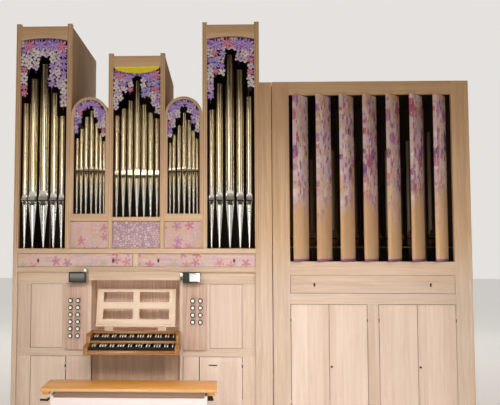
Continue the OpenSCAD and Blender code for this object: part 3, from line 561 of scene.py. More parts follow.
def woodColour(w, p, look):
    tone = w.tree.nodes.new("ShaderNodeAttribute")
    tone.attribute_name = "boardTone"
    light, dark = (*look["light"], 1), (*look["dark"], 1)
    if look.get("warmTopLight"):
        # painted light: the upper case is tinted warmer and more golden than the lower one
        warmLight = w.remap(w.split(p)[2], 1.30, 1.85)
        light = w.mix(warmLight, light, (*[c * t for c, t in zip(look["light"], look["warmTopLight"])], 1))
        dark = w.mix(warmLight, dark, (*[c * t for c, t in zip(look["dark"], look["warmTopLight"])], 1))
    return w.group(woodGrain, Vector=turnGrain(w, p, look["run"]), Tone=tone.outputs["Fac"],
                   Light=light, Dark=dark,
                   BoardWidth=look.get("width", 0.6), Streak=look.get("streak", 0.5),
                   Pores=0.22, BoardSpread=look.get("spread", 0.15),
                   Seam=look.get("seam", 0.0))


def makeWood(name, look):
    m, w, b, p = startMaterial(name, coat=look.get("coat", 0.0))
    out = woodColour(w, p, look)
    w.feed(b.inputs["Base Color"], out["Colour"])
    if "rough" in look or look.get("coat"):
        b.inputs["Roughness"].default_value = look.get("rough", 0.32)
    else:
        w.feed(b.inputs["Roughness"], out["Rough"])
    addBump(w, b, out["Height"], 0.25, 0.0006)
    return m


wood = {name: makeWood(name, look) for name, look in woodLooks.items()}


# the grooves' colour is painted shade
grooveLook = {"edges": (0.239, 0.260, 0.642, 0.663, 1.139, 1.160), "half": 0.0008, "fade": 0.0022,
              "above": 1.70, "colour": (0.24, 0.15, 0.10, 1), "strength": 0.7, "deep": 4.0}


def makeGroovedPost():
    # limed post front with the two fine grooves along its edges, above the impost, drawn as dark lines of
    # painted shade over a sunk bump
    g = grooveLook
    m, w, b, p = startMaterial("groovedPost")
    out = woodColour(w, p, woodLooks["limedUp"])
    x, y, z = w.split(p)
    side = w.math("ABSOLUTE", x)
    line = None
    for edge in g["edges"]:
        away = w.math("ABSOLUTE", w.minus(side, edge))
        near = w.remap(away, g["half"], g["fade"], 1.0, 0.0)
        line = near if line is None else w.math("MAXIMUM", line, near)
    line = w.times(line, w.math("GREATER_THAN", z, g["above"]))
    grooveShade = w.times(line, g["strength"])
    w.feed(b.inputs["Base Color"], w.mix(grooveShade, out["Colour"], g["colour"]))
    w.feed(b.inputs["Roughness"], out["Rough"])
    sunk = w.times(line, g["deep"])
    addBump(w, b, w.minus(out["Height"], sunk), 0.25, 0.0006)
    return m


groovedPost = makeGroovedPost()


def makePaintedWood(name, look, palette, wash, dabs, zone):
    # wood with a thin colour wash and brush dabs; zone gives the heights where they start and fade
    m, w, b, p = startMaterial(name)
    out = woodColour(w, p, look)
    turn = w.tree.nodes.new("ShaderNodeVectorRotate")
    turn.rotation_type = "Z_AXIS"
    turn.inputs["Angle"].default_value = -dabs["turn"]
    w.feed(turn.inputs["Vector"], p)
    flat = turn.outputs[0]
    x, y, z = w.split(p)
    colour = out["Colour"]
    cloud = w.noise(flat, wash["scale"], 3.0, 0.6, 0.3)
    ragged = w.noise(p, (5.0, 5.0, 2.5))
    height = w.plus(z, w.times(w.minus(ragged, 0.5), zone["fringe"]))
    inside = w.times(w.remap(height, zone["low"], zone["full"]),
                     w.remap(height, zone["top"] + 0.03, zone["top"] - 0.05))
    washMask = w.times(w.remap(cloud, wash["low"], wash["high"], 0.0, wash["strength"]), inside)
    colour = w.mix(washMask, colour, (*wash["colour"], 1))
    for k, (across, along, size, cover) in enumerate(dabs["layers"]):
        shifted = w.vec("ADD", flat, (0.37 * k, 0.0, 0.53 * k))
        made = w.group(brushDabs, Vector=shifted, Across=across, Along=along, Size=size, Cover=cover)
        tint = w.ramp(made["Pick"], palette, constant=True)
        fade = w.remap(w.noise(flat, (70.0, 70.0, 24.0)), 0.25, 0.7, dabs["thin"], 1.0)
        mask = w.times(w.times(made["Mask"], inside), fade)
        colour = w.mix(mask, colour, tint)
    foot = w.remap(z, zone["foot"] + 0.004, zone["foot"] - 0.002)
    colour = w.mix(w.times(foot, 0.85), colour, (0.20, 0.07, 0.24, 1))
    w.feed(b.inputs["Base Color"], colour)
    w.feed(b.inputs["Roughness"], out["Rough"])
    addBump(w, b, out["Height"], 0.2, 0.0005)
    return m


louvrePalette = [(0.0, (0.15, 0.03, 0.22)), (0.14, (0.44, 0.13, 0.38)), (0.30, (0.46, 0.06, 0.17)),
                 (0.42, (0.74, 0.62, 0.68)), (0.64, (0.86, 0.74, 0.74)), (0.80, (0.30, 0.13, 0.42)),
                 (0.90, (0.64, 0.42, 0.58))]


def makeMetal(name, colour, rough, mottle=0.0, scale=300.0, bump=0.0):
    m, w, b, p = startMaterial(name, rough=rough, metallic=1.0)
    n = w.noise(p, scale, 3.0, 0.6)
    dark = tuple(c * (1 - mottle) for c in colour)
    w.feed(b.inputs["Base Color"], w.mix(w.remap(n, 0.3, 0.7), (*colour, 1), (*dark, 1)))
    w.feed(b.inputs["Roughness"], w.remap(n, 0.3, 0.7, rough * 0.85, rough * 1.2))
    if bump:
        addBump(w, b, n, bump, 0.0004)
    return m


def makePlain(name, colour, rough, spread=0.15, scale=40.0, coat=0.0):
    m, w, b, p = startMaterial(name, rough=rough, coat=coat)
    n = w.noise(p, scale, 3.0, 0.55)
    dark = tuple(c * (1 - spread) for c in colour)
    w.feed(b.inputs["Base Color"], w.mix(w.remap(n, 0.3, 0.7), (*colour, 1), (*dark, 1)))
    addBump(w, b, n, 0.1, 0.0003)
    return m


def makeTin(name, feet, body, crown, rough):
    # polished tin, silver at the feet, warmer up the body and darker at the top; the gold of the body is
    # painted reflection and the dark crown painted shade
    m, w, b, p = startMaterial(name, rough=rough, metallic=1.0)
    drawn = w.noise(p, (14.0, 14.0, 0.35), 1.0, 0.4)
    height = w.split(p)[2]
    high = w.ramp(w.remap(height, 1.7, 3.7), [(0.0, feet), (0.24, feet), (0.36, body), (0.60, body),
                                              (0.76, crown), (1.0, crown)])
    shade = w.remap(drawn, 0.3, 0.7, 0.90, 1.0)
    w.feed(b.inputs["Base Color"], w.dim(high, shade))
    w.feed(b.inputs["Roughness"], w.remap(drawn, 0.3, 0.7, rough * 0.96, rough * 1.05))
    return m


tin = makeTin("pipeTin", (0.95, 0.96, 0.95), (0.96, 0.85, 0.64), (0.30, 0.25, 0.18), 0.16)
# painted shade: the swell pipes behind the louvres take a dark tin
shadedTin = makeTin("shadedTin", (0.30, 0.25, 0.18), (0.24, 0.19, 0.12), (0.16, 0.12, 0.08), 0.30)
lipTin = makeMetal("lipTin", (0.93, 0.87, 0.70), 0.42, 0.30, 90.0, 0.2)
# painted shade: the pipes' insides are a near-black metal
shadedInsideTin = makeMetal("shadedInsideTin", (0.03, 0.026, 0.02), 0.6, 0.4, 90.0)
brass = makeMetal("brass", (0.78, 0.55, 0.22), 0.28, 0.2, 200.0)
chrome = makeMetal("chrome", (0.72, 0.71, 0.69), 0.12, 0.1, 150.0)
blackMetal = makePlain("blackMetal", (0.018, 0.018, 0.018), 0.45, 0.3, 120.0)
mirrorGlass = makeMetal("mirrorGlass", (0.62, 0.66, 0.66), 0.03, 0.03, 20.0)
# painted reflection: a pale plain colour stands in for the right mirror's glass
mirrorPaintedReflection = makePlain("mirrorPaintedReflection", (0.84, 0.93, 0.93), 0.12, 0.12, 9.0, coat=0.6)
hingeMetal = makeMetal("hingeMetal", (0.30, 0.23, 0.17), 0.5, 0.4, 200.0)
keyBlack = makePlain("keyBlack", (0.010, 0.007, 0.006), 0.62, 0.4, 60.0)
keyWhite = makePlain("keyWhite", (0.93, 0.88, 0.80), 0.35, 0.10, 90.0, coat=0.3)
porcelain = makePlain("porcelain", (0.93, 0.92, 0.88), 0.18, 0.05, 60.0, coat=0.5)
knobDark = makePlain("knobDark", (0.012, 0.008, 0.006), 0.75, 0.4, 90.0)
keyholeBlackShade = makePlain("keyholeBlackShade", (0.006, 0.005, 0.004), 0.8, 0.3, 200.0)
lampGlow = makePlain("lampGlow", (0.95, 0.93, 0.88), 0.1, 0.03, 50.0, coat=0.4)
print("materials ready")


# Painted finishes

louvrePaint = makePaintedWood(
    "louvrePaint", woodLooks["louvreTan"], louvrePalette,
    dict(scale=(9.0, 9.0, 3.5), low=0.30, high=0.58, strength=0.85, colour=(0.70, 0.56, 0.62)),
    dict(turn=math.radians(46), thin=0.38,
         layers=[(12.0, 5.0, 0.66, 0.50), (21.0, 8.5, 0.60, 0.58), (40.0, 16.0, 0.52, 0.5)]),
    dict(low=2.02, full=2.42, top=3.20, fringe=0.9, foot=1.605))


def makeVinePaint(name, look, leafScale, leafShare, roundScale, shift):
    # limed wood with thinly painted leaves and rounds over a faint wash
    m, w, b, p = startMaterial(name)
    out = woodColour(w, p, look)
    cloud = w.noise(p, (7.0, 7.0, 9.0), 3.0, 0.6, 0.3)
    colour = w.mix(w.remap(cloud, 0.36, 0.62, 0.0, 0.42), out["Colour"], (0.64, 0.44, 0.58, 1))
    made = w.group(vineMotif, Vector=w.vec("ADD", p, shift), LeafScale=leafScale, LeafShare=leafShare,
                   RoundScale=roundScale)
    worn = w.remap(w.noise(p, 60.0, 3.0, 0.6), 0.3, 0.7, 0.55, 1.0)
    rounds = w.ramp(made["RoundPick"], [(0.0, (0.60, 0.42, 0.62)), (0.3, (0.70, 0.50, 0.62)),
                                        (0.6, (0.54, 0.44, 0.62)), (0.8, (0.66, 0.40, 0.52))], constant=True)
    colour = w.mix(w.times(w.times(made["Round"], worn), 0.8), colour, rounds)
    colour = w.mix(w.times(made["Rim"], 0.6), colour, (0.36, 0.20, 0.40, 1))
    leaves = w.ramp(made["LeafPick"], [(0.0, (0.46, 0.055, 0.14)), (0.3, (0.56, 0.15, 0.17)),
                                       (0.6, (0.38, 0.09, 0.28)), (0.86, (0.38, 0.40, 0.26))], constant=True)
    colour = w.mix(w.times(w.times(made["Leaf"], worn), 0.85), colour, leaves)
    colour = w.mix(w.times(made["Vein"], 0.45), colour, (0.80, 0.56, 0.58, 1))
    w.feed(b.inputs["Base Color"], colour)
    w.feed(b.inputs["Roughness"], out["Rough"])
    addBump(w, b, out["Height"], 0.2, 0.0005)
    return m


friezePaint = makeVinePaint("friezePaint", woodLooks["limedAcross"], 9.0, 0.55, 30.0, (0.0, 0.0, 0.03))
rowPaint = makeVinePaint("rowPaint", woodLooks["limedUp"], 9.0, 0.6, 30.0, (0.31, 0.0, 0.02))


def makePebbles():
    # a pattern of rounded pebbles in muted tones, with darker gaps
    m, w, b, p = startMaterial("pebblePanel", rough=0.6)
    x, y, z = w.split(p)
    flat = w.combine(w.times(x, 38.0), w.times(z, 46.0), 0.0)
    near = w.cells(flat, randomness=0.85)
    pick = w.split(near.outputs["Color"])
    tint = w.ramp(pick[0], [(0.0, (0.44, 0.27, 0.33)), (0.2, (0.58, 0.42, 0.45)),
                            (0.4, (0.50, 0.33, 0.40)), (0.58, (0.66, 0.52, 0.54)),
                            (0.74, (0.40, 0.25, 0.34)), (0.88, (0.60, 0.42, 0.44))], constant=True)
    rim = w.cells(flat, feature="DISTANCE_TO_EDGE", randomness=0.85).outputs["Distance"]
    gap = w.remap(rim, 0.02, 0.11)
    grit = w.noise(p, 260.0, 3.0, 0.6)
    tint = w.mix(w.remap(grit, 0.4, 0.75, 0.0, 0.35), tint, (0.74, 0.64, 0.64, 1))
    w.feed(b.inputs["Base Color"], w.mix(gap, (0.25, 0.13, 0.16, 1), tint))
    addBump(w, b, gap, 0.5, 0.0015)
    return m


def makePaint(name, colour, other, gold=False):
    # brushed paint; a leaf's veins come out paler through its own attribute
    m, w, b, p = startMaterial(name, rough=0.36 if gold else 0.6)
    n = w.noise(p, 28.0, 4.0, 0.6)
    base = w.mix(w.remap(n, 0.32, 0.68), (*colour, 1), (*other, 1))
    vein = w.tree.nodes.new("ShaderNodeAttribute")
    vein.attribute_name = "vein"
    pale = tuple(min(1.0, c * 1.2 + 0.18) for c in other)
    lines = w.remap(vein.outputs["Fac"], 0.86, 0.99, 0.0, 0.75)
    w.feed(b.inputs["Base Color"], w.mix(lines, base, (*pale, 1)))
    fine = w.noise(p, (240.0, 240.0, 120.0), 2.0, 0.5)
    addBump(w, b, fine, 0.25, 0.0005)
    return m


pebblePanel = makePebbles()
paints = {
    "violet": makePaint("paintViolet", (0.24, 0.12, 0.50), (0.40, 0.24, 0.66)),
    "blue": makePaint("paintBlue", (0.20, 0.20, 0.55), (0.34, 0.32, 0.66)),
    "lilac": makePaint("paintLilac", (0.45, 0.32, 0.60), (0.66, 0.57, 0.72)),
    "cream": makePaint("paintCream", (0.80, 0.78, 0.72), (0.56, 0.46, 0.64)),
    "crimson": makePaint("paintCrimson", (0.44, 0.09, 0.23), (0.56, 0.20, 0.36)),
    "stem": makePaint("paintStem", (0.10, 0.06, 0.09), (0.20, 0.13, 0.16)),
    "gold": makePaint("paintGold", (0.90, 0.72, 0.02), (0.96, 0.82, 0.06), gold=True),
}
print("paints ready")


# Woodwork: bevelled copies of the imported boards, each with its own grain

caseTrim = {"bevel": 0.0018, "hingeSize": 0.075, "narrowFrom": 0.1}


def narrowBoards(mesh, gap):
    # leaves a dark hair line round each board
    for members in linkGroups(mesh):
        used = {v for i in members for v in mesh.polygons[i].vertices}
        for k in (0, 2):
            low = min(mesh.vertices[v].co[k] for v in used)
            high = max(mesh.vertices[v].co[k] for v in used)
            if high - low < caseTrim["narrowFrom"]:
                continue
            mid = (low + high) / 2
            for v in used:
                c = mesh.vertices[v].co
                c[k] = mid + (c[k] - mid) * (1 - 2 * gap / (high - low))


def dress(node, body, slot, choose, bevel=None, seed=1, gap=0.0):
    # a bevelled copy of a CAD node; choose(centre, normal, low, high) names each face's material
    o = cleanCopy(node, node + "Piece")
    tonePerBoard(o, seed)
    mesh = o.data
    if gap:
        narrowBoards(mesh, gap)
    materials = []
    indices = [0] * len(mesh.polygons)
    for members in linkGroups(mesh):
        low, high = cornersOf(mesh, members)
        for i in members:
            f = mesh.polygons[i]
            m = choose(f.center, f.normal, low, high)
            if m not in materials:
                materials.append(m)
            indices[i] = materials.index(m)
    paint(o, *materials)
    mesh.polygons.foreach_set("material_index", indices)
    softenEdges(o, caseTrim["bevel"] if bevel is None else bevel)
    smoothByAngle(o)
    finishPiece(o, body, slot, node)
    return o


def isSmall(low, high):
    return max(high[k] - low[k] for k in range(3)) < caseTrim["hingeSize"]


def plainWood(material):
    return lambda c, n, low, high: hingeMetal if isSmall(low, high) else material


# painted shade: faces inside the case take the near-black shadowWood
def insideDark(outer, test):
    return lambda c, n, low, high: wood["shadowWood"] if test(c, n) else outer


archX, archSpring = 0.451, 2.975

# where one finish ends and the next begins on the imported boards
splitAt = {"swellX": 1.2, "swellMid": 2.2, "towerX": 0.9, "flatX": 0.5, "outerX": (-1.1, 3.0),
           "rowZ": 1.6, "rowHalf": 0.23, "kneeHalf": 0.40,
           "boardFront": 0.002, "holeBack": 0.0055, "swellSet": 0.004,
           "nicheFront": 0.0295, "headerZ": 1.38, "leafFront": 0.0036, "pullZ": 0.612, "pullHalf": 0.011,
           "sharpPedals": (0.51, -0.08, 0.09)}
benchSplit = {"plateX": (-0.5825, -0.5695), "plateFront": -0.677, "plateZ": (0.45, 0.54),
              "bracketX": (0.685, 0.739), "bracketFront": -0.679, "bracketZ": (0.487, 0.532),
              "apronTop": 0.5775, "apronFront": -0.77, "seatX": 0.058, "apronHalf": 0.601,
              "seatFront": -0.81}


def within(value, span):
    return span[0] < value < span[1]


def vaultInner(c, n):
    side = 1 if c.x > 0 else -1
    out = Vector((c.x - side * archX, 0, c.z - archSpring))
    return n.dot(out) < 0 and abs(n.y) < 0.5


def wallInner(c, n):
    if c.x > splitAt["swellX"]:
        mid = splitAt["swellMid"]
        return (n.x > 0.5 and c.x < mid) or (n.x < -0.5 and c.x > mid)
    if abs(c.x) > splitAt["towerX"]:
        return n.x * c.x < 0
    if abs(c.x) > splitAt["flatX"]:
        return n.x * c.x > 0
    return n.x * c.x < 0


def wallWood(c, n, low, high):
    if wallInner(c, n):
        return wood["shadowWood"]
    left, right = splitAt["outerX"]
    return wood["outerBoards"] if c.x < left or c.x > right else wood["shadedSideBoards"]


def panelWood(c, n, low, high):
    if isSmall(low, high):
        return wood["doorBoards"] if n.y < -0.99 else hingeMetal
    if low.z > splitAt["rowZ"]:
        return pebblePanel if abs(c.x) < splitAt["rowHalf"] else rowPaint
    if n.y > 0.5:
        return wood["shadowWood"]
    return wood["shadedKneeBoards"] if abs(c.x) < splitAt["kneeHalf"] else wood["doorBoards"]


def accessWood(c, n, low, high):
    # painted over the desk, plain under the louvres, and near black in the keyholes as painted shade
    swell = c.x > splitAt["swellX"]
    if not swell and n.y < -0.5 and c.y < splitAt["boardFront"]:
        return friezePaint
    if n.y < -0.5 and c.y > splitAt["holeBack"] + (splitAt["swellSet"] if swell else 0):
        return keyholeBlackShade
    return wood["limedAcross"]


def nicheWood(c, n, low, high):
    header = c.y < splitAt["nicheFront"] and c.z > splitAt["headerZ"]
    return wood["limedAcross"] if header else wood["litNicheBoards"]


def leafWood(front, material):
    # a door leaf, its dark pull and its hinges, for a leaf whose front is at this depth
    def choose(c, n, low, high):
        if c.y > front - splitAt["leafFront"]:
            return material
        return knobDark if abs(c.z - splitAt["pullZ"]) < splitAt["pullHalf"] else hingeMetal
    return choose


def postWood(c, n, low, high):
    if isSmall(low, high):
        return hingeMetal
    return groovedPost if n.y < -0.9 and c.x < splitAt["swellX"] else wood["limedUp"]


def pedalWood(c, n, low, high):
    half, front, above = splitAt["sharpPedals"]
    return keyBlack if c.z > above and abs(c.x) < half and c.y < front else wood["pedalWood"]


def benchWood(c, n, low, high):
    # the black bearing plate and the bracket under the seat's ends
    s = benchSplit
    plate = within(c.x, s["plateX"]) and c.y < s["plateFront"] and within(c.z, s["plateZ"])
    bracket = within(c.x, s["bracketX"]) and c.y < s["bracketFront"] and within(c.z, s["bracketZ"])
    return blackMetal if plate or bracket else wood["paleBoard"]


def seatWood(c, n, low, high):
    s = benchSplit
    if c.z < s["apronTop"] and c.y < s["apronFront"] and abs(c.x - s["seatX"]) < s["apronHalf"]:
        return wood["shadedApronBrown"]
    return wood["litHoneyEdge"] if n.y < -0.5 and c.y < s["seatFront"] else wood["honeyAcross"]


dress("case_posts", "case", "limed_wood", postWood, seed=11)
dress("case_rails", "case", "limed_wood", plainWood(wood["limedAcross"]), seed=12)
dress("case_stiles", "case", "limed_wood", plainWood(wood["limedUp"]), seed=13)
dress("top_rails", "case", "limed_wood", plainWood(wood["limedAcross"]), seed=14)
dress("flat_arches", "case", "limed_wood", plainWood(wood["limedUp"]), seed=15)
dress("flat_vaults", "case", "limed_wood", insideDark(wood["limedDeep"], vaultInner), seed=16)
dress("side_walls", "case", "limed_wood", wallWood, seed=17)
dress("back_walls", "case", "limed_wood",
      insideDark(wood["shadedSideBoards"], lambda c, n: n.y < -0.5), seed=18)
dress("roofs", "case", "limed_wood", insideDark(wood["limedDeep"], lambda c, n: n.z < -0.5), seed=19)
dress("wall_panels", "case", "limed_wood", panelWood, seed=20, gap=0.003)
dress("access_boards", "case", "limed_wood", accessWood, bevel=0.001, seed=21, gap=0.0032)
dress("stop_jambs", "case", "jamb_wood", plainWood(wood["jambWood"]), bevel=0.001, seed=22)
dress("console_niche", "case", "limed_wood", nicheWood, seed=23)
dress("music_desk", "case", "desk_wood", plainWood(wood["deskCream"]), bevel=0.0015, seed=24)
dress("key_desk", "case", "honey_wood", lambda c, n, low, high: wood["deskHoney"], bevel=0.003, seed=25)
dress("filler_board", "case", "limed_wood", plainWood(wood["limedUp"]), seed=26)
dress("swell_chest", "case", "limed_wood", plainWood(wood["shadowWood"]), seed=27)
dress("bench_base", "case", "pale_board", benchWood, seed=28)
dress("bench_seat", "bench_seat", "honey_wood", seatWood, bevel=0.004, seed=29)
dress("pedalboard", "case", "honey_wood", pedalWood, bevel=0.002, seed=30)
dress("left_door", "left_door", "limed_wood", leafWood(0.03, wood["doorBoards"]), seed=31)
dress("right_door", "right_door", "limed_wood", leafWood(0.03, wood["doorBoards"]), seed=32)
for k in range(1, 5):
    dress(f"swell_door_{k}", f"swell_door_{k}", "limed_wood", leafWood(0.0, wood["doorBoards"]), seed=40 + k)
for k in range(1, 8):
    dress(f"louvre_{k}", f"louvre_{k}", "louvre_wood", lambda c, n, low, high: louvrePaint,
          bevel=0.002, seed=50 + k)


keyholeLook = {"wide": 0.020, "tall": 0.038, "proud": 0.0022, "rim": 0.005, "slotDeep": 0.002,
               "friezeX": (0.929, 0.214), "friezeY": 0.0006, "friezeZ": 1.5875,
               "boardX": (1.676, 2.753), "boardY": 0.0046, "boardZ": 1.3645}


def makeKeyholes():
    # small black oval plates with a slot, round each keyhole, partly their own black and partly painted
    # shade of the holes
    k = keyholeLook
    places = [(side * x, k["friezeY"], k["friezeZ"]) for side in (-1, 1) for x in k["friezeX"]]
    places += [(x, k["boardY"], k["boardZ"]) for x in k["boardX"]]
    parts = []
    for place in places:
        bpy.ops.mesh.primitive_cylinder_add(vertices=32, radius=0.5, depth=1, end_fill_type="NGON",
                                            location=place, rotation=(math.radians(90), 0, 0),
                                            scale=(k["wide"], k["tall"], k["proud"] * 2))
        o = bpy.context.object
        applyPlace(o)
        editOnly(o, "FACE", [lastFace(o, 1, -1)])
        bpy.ops.mesh.inset(thickness=k["rim"], depth=0.0)
        bpy.ops.transform.translate(value=(0, k["slotDeep"], 0))
        bpy.ops.object.mode_set(mode="OBJECT")
        softenEdges(o, 0.0006)
        paint(o, keyholeBlackShade)
        parts.append(o)
    finishPiece(joinAll(parts, "keyholePlates"), "case", "black_metal")
    smoothByAngle(bpy.data.objects["keyholePlates"], 30)


makeKeyholes()
print("woodwork dressed")


# Metal pipes

pipeShape = {"wall": 0.0016, "toe": 0.008, "lowerLip": 0.028, "upperLip": 0.037, "halfMouth": 60,
             "archHeight": 1.0, "lowerHeight": 0.48, "lowerMouth": 44, "earOut": 0.004, "earThick": 0.0016,
             "shortest": 0.3}
feet = {"tower": 0.426, "flat": 0.375, "centre": 0.372, "swell": 0.220}


def extrudeRings(rows, sides, x, y):
    # a turned shell: rows of (height, radius), made by extruding a circle and scaling it
    z0, r0 = rows[0]
    bpy.ops.mesh.primitive_circle_add(vertices=sides, radius=r0, fill_type="NOTHING", location=(x, y, z0))
    o = bpy.context.object
    bpy.ops.object.transform_apply(location=True, rotation=False, scale=False)
    bpy.ops.object.mode_set(mode="EDIT")
    bpy.ops.mesh.select_mode(type="VERT")
    bpy.ops.mesh.select_all(action="SELECT")
    for (za, ra), (zb, rb) in zip(rows, rows[1:]):
        bpy.ops.mesh.extrude_region_move(TRANSFORM_OT_translate={"value": (0, 0, zb - za)})
        if abs(rb - ra) > 1e-7:
            bpy.ops.transform.resize(value=(rb / ra, rb / ra, 1), center_override=(x, y, zb))
    faceOutward()
    f = o.data.polygons[sides // 2]
    if f.normal.dot(f.center - Vector((x, y, f.center.z))) < 0:
        makeActive(o)
        bpy.ops.object.mode_set(mode="EDIT")
        bpy.ops.mesh.flip_normals()
        bpy.ops.object.mode_set(mode="OBJECT")
    return o


def makePipe(low, high, foot, sides, metal):
    # a thin-walled pipe on its cone, with flattened lips, an open mouth and two ears
    s = pipeShape
    r = (high.x - low.x) / 2
    x, y, z0, z1 = (low.x + high.x) / 2, high.y - r, low.z, high.z
    slitLow, slitHigh = z0 + foot + s["lowerLip"], z0 + foot + s["upperLip"]
    upper, lower = s["archHeight"] * 2 * r, s["lowerHeight"] * 2 * r
    footTop = z0 + foot
    rows = [(z0, s["toe"]), (footTop - 0.02, s["toe"] + (r - s["toe"]) * (foot - 0.02) / foot)]
    for t in (1.0, 0.85, 0.6, 0.3):
        z = slitLow - t * lower
        if z > footTop - 0.015:
            rows.append((z, r))
    if rows[-1][1] < r and not any(abs(z - footTop) < 0.001 for z, q in rows):
        rows.append((footTop, r))
    rows.sort()
    rows = [q for q in rows if q[0] <= slitLow - 0.001]
    rows.append((slitLow, r))
    rows.append((slitHigh, r))
    rows += [(slitHigh + t * upper, r) for t in (0.35, 0.6, 0.74, 0.84, 0.91, 0.96, 1.0)]
    rows.append((z1 - 0.004, r))
    rows.append((z1, r * 1.012))
    o = extrudeRings(rows, sides, x, y)
    half = math.radians(s["halfMouth"])
    mesh = o.data
    for v in mesh.vertices:
        z = v.co.z
        if z >= slitHigh - 1e-5 and z <= slitHigh + upper:
            t = max(0.0, (z - slitHigh) / upper)
            opened = half * max(0.0, 1 - t ** 5) ** 0.6
        elif z <= slitLow + 1e-5 and z >= slitLow - lower:
            t = max(0.0, (slitLow - z) / lower)
            opened = math.radians(s["lowerMouth"]) * max(0.0, 1 - t ** 2.4) ** 0.5
        else:
            continue
        here = math.hypot(v.co.x - x, v.co.y - y)
        plane = y - here * math.cos(opened)
        if v.co.y < plane:
            v.co.y = plane
    mesh.update()
    bm = bmesh.new()
    bm.from_mesh(mesh)
    bm.normal_update()
    gone = []
    for f in bm.faces:
        c = f.calc_center_median()
        front = c.y < y and abs(math.atan2(c.x - x, y - c.y)) < half
        if front and slitLow < c.z < slitHigh:
            gone.append(f)
        elif front and slitHigh < c.z < slitHigh + upper and f.normal.y < -0.97:
            f.material_index = 1
        elif front and slitLow - lower < c.z < slitLow and f.normal.y < -0.97:
            f.material_index = 1
    bmesh.ops.delete(bm, geom=gone, context="FACES")
    bm.to_mesh(mesh)
    bm.free()
    m = o.modifiers.new("wall", "SOLIDIFY")
    m.thickness = s["wall"]
    m.offset = -1
    m.use_even_offset = False
    m.material_offset = 2
    paint(o, metal, lipTin, shadedInsideTin, shadedInsideTin)
    applyModifiers(o)
    ears = []
    for side in (-1, 1):
        ex = x + side * r * math.sin(half)
        front = y - r - s["earOut"]
        back = y - r * math.cos(half) + 0.004
        earLow, earHigh = slitLow - 0.18 * r, slitHigh + 0.7 * r
        e = addCube((ex, (front + back) / 2, (earLow + earHigh) / 2),
                    (s["earThick"], back - front, earHigh - earLow))
        paint(e, metal)
        softenEdges(e, 0.0004, 1)
        ears.append(e)
    return joinAll([o] + ears, "pipe")


def makePipes(node, groups, slot, metal):
    made = {}
    for low, high in partBoxes(node):
        if high.z - low.z < pipeShape["shortest"]:
            continue
        mid = (low.x + high.x) / 2
        for name, xa, xb, foot, sides in groups:
            if xa < mid < xb:
                made.setdefault(name, []).append(makePipe(low, high, foot, sides, metal))
    for name, pipes in made.items():
        o = joinAll(pipes, name)
        smoothByAngle(o, 32)
        finishPiece(o, "case", slot)
    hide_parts(node)


makePipes("front_pipes", [("leftTowerPipes", -1.2, -0.66, feet["tower"], 44),
                          ("leftFlatPipes", -0.64, -0.26, feet["flat"], 32),
                          ("centrePipes", -0.25, 0.25, feet["centre"], 36),
                          ("rightFlatPipes", 0.26, 0.64, feet["flat"], 32),
                          ("rightTowerPipes", 0.66, 1.2, feet["tower"], 44)], "pipe_metal", tin)
makePipes("swell_pipes", [("swellPipes", 1.2, 3.2, feet["swell"], 24)], "pipe_metal", shadedTin)


rackLook = {"at": (2.2145, 0.336, 1.708), "size": (1.781, 0.012, 0.016), "bevel": 0.0052}


def makeRackRail():
    # the thin brass rail across the swell pipes
    o = addCube(rackLook["at"], rackLook["size"])
    softenEdges(o, rackLook["bevel"], 4)
    smoothByAngle(o, 50)
    paint(o, brass)
    o.name = "rackRail"
    finishPiece(o, "case", "pipe_metal")


makeRackRail()
print("pipes made")


# Carved pipe shades: a trellis of vine leaves and grapes, ending just above each pipe

vine = {"thick": 0.006, "stemBack": 0.0115, "stemFront": 0.0065, "stemWide": 0.0042, "above": 0.045,
        "leafBack": 0.0085, "bunchBack": 0.0062, "jitter": 0.16, "leafShare": 0.30,
        "topLeaf": 2.25, "leaf": 1.30, "seed": 71,
        "pitch": {"tower": 0.064, "centre": 0.052, "flat": 0.043}}
opening = {"towerIn": 0.675, "towerOut": 1.127, "towerHead": 3.712, "towerRise": 0.023,
           "centreHalf": 0.227, "centreHead": 3.445, "archHalf": 0.153}
frontBoxes = [b for b in partBoxes("front_pipes") if b[1].z - b[0].z > pipeShape["shortest"]]


def lobeAt(a):
    return abs(math.cos(a * math.pi / math.radians(55)))


def makeLeaf(name):
    # a vine leaf one unit across, tip down, with a raised rim and a crowned middle
    bpy.ops.mesh.primitive_circle_add(vertices=46, radius=0.5, fill_type="NGON",
                                      rotation=(math.radians(90), 0, 0))
    o = bpy.context.object
    applyPlace(o)
    for v in o.data.vertices:
        a = math.atan2(v.co.x, -v.co.z)
        reach = 0.5 * (0.40 + 0.60 * lobeAt(a) ** 0.9) * (1.0 - 0.34 * (abs(a) / math.pi) ** 1.5)
        if abs(a) > 3.0:
            reach = 0.12
        v.co = (math.sin(a) * reach, 0, -math.cos(a) * reach)
    editAll(o)
    bpy.ops.mesh.extrude_region_move(TRANSFORM_OT_translate={"value": (0, -vine["thick"], 0)})
    bpy.ops.mesh.inset(thickness=0.026, depth=0.0)
    bpy.ops.transform.translate(value=(0, 0.0016, 0))
    bpy.ops.mesh.poke(offset=0.0026)
    faceOutward()
    vein = o.data.attributes.new("vein", "FLOAT", "POINT")
    for v, slot in zip(o.data.vertices, vein.data):
        out = math.hypot(v.co.x, v.co.z)
        slot.value = 1.0 if out < 0.04 else lobeAt(math.atan2(v.co.x, -v.co.z))
    smoothByAngle(o, 25)
    o.name = name
    return o


def makeGrapes(name, places):
    # a small bunch of rounds, one unit across, each a low dome
    parts = []
    for x, z, r in places:
        bpy.ops.mesh.primitive_ico_sphere_add(subdivisions=2, radius=1, location=(x, 0, z),
                                              scale=(r, 0.0052, r))
        parts.append(bpy.context.object)
        applyPlace(parts[-1])
    o = joinAll(parts, name)
    smoothByAngle(o, 80)
    return o


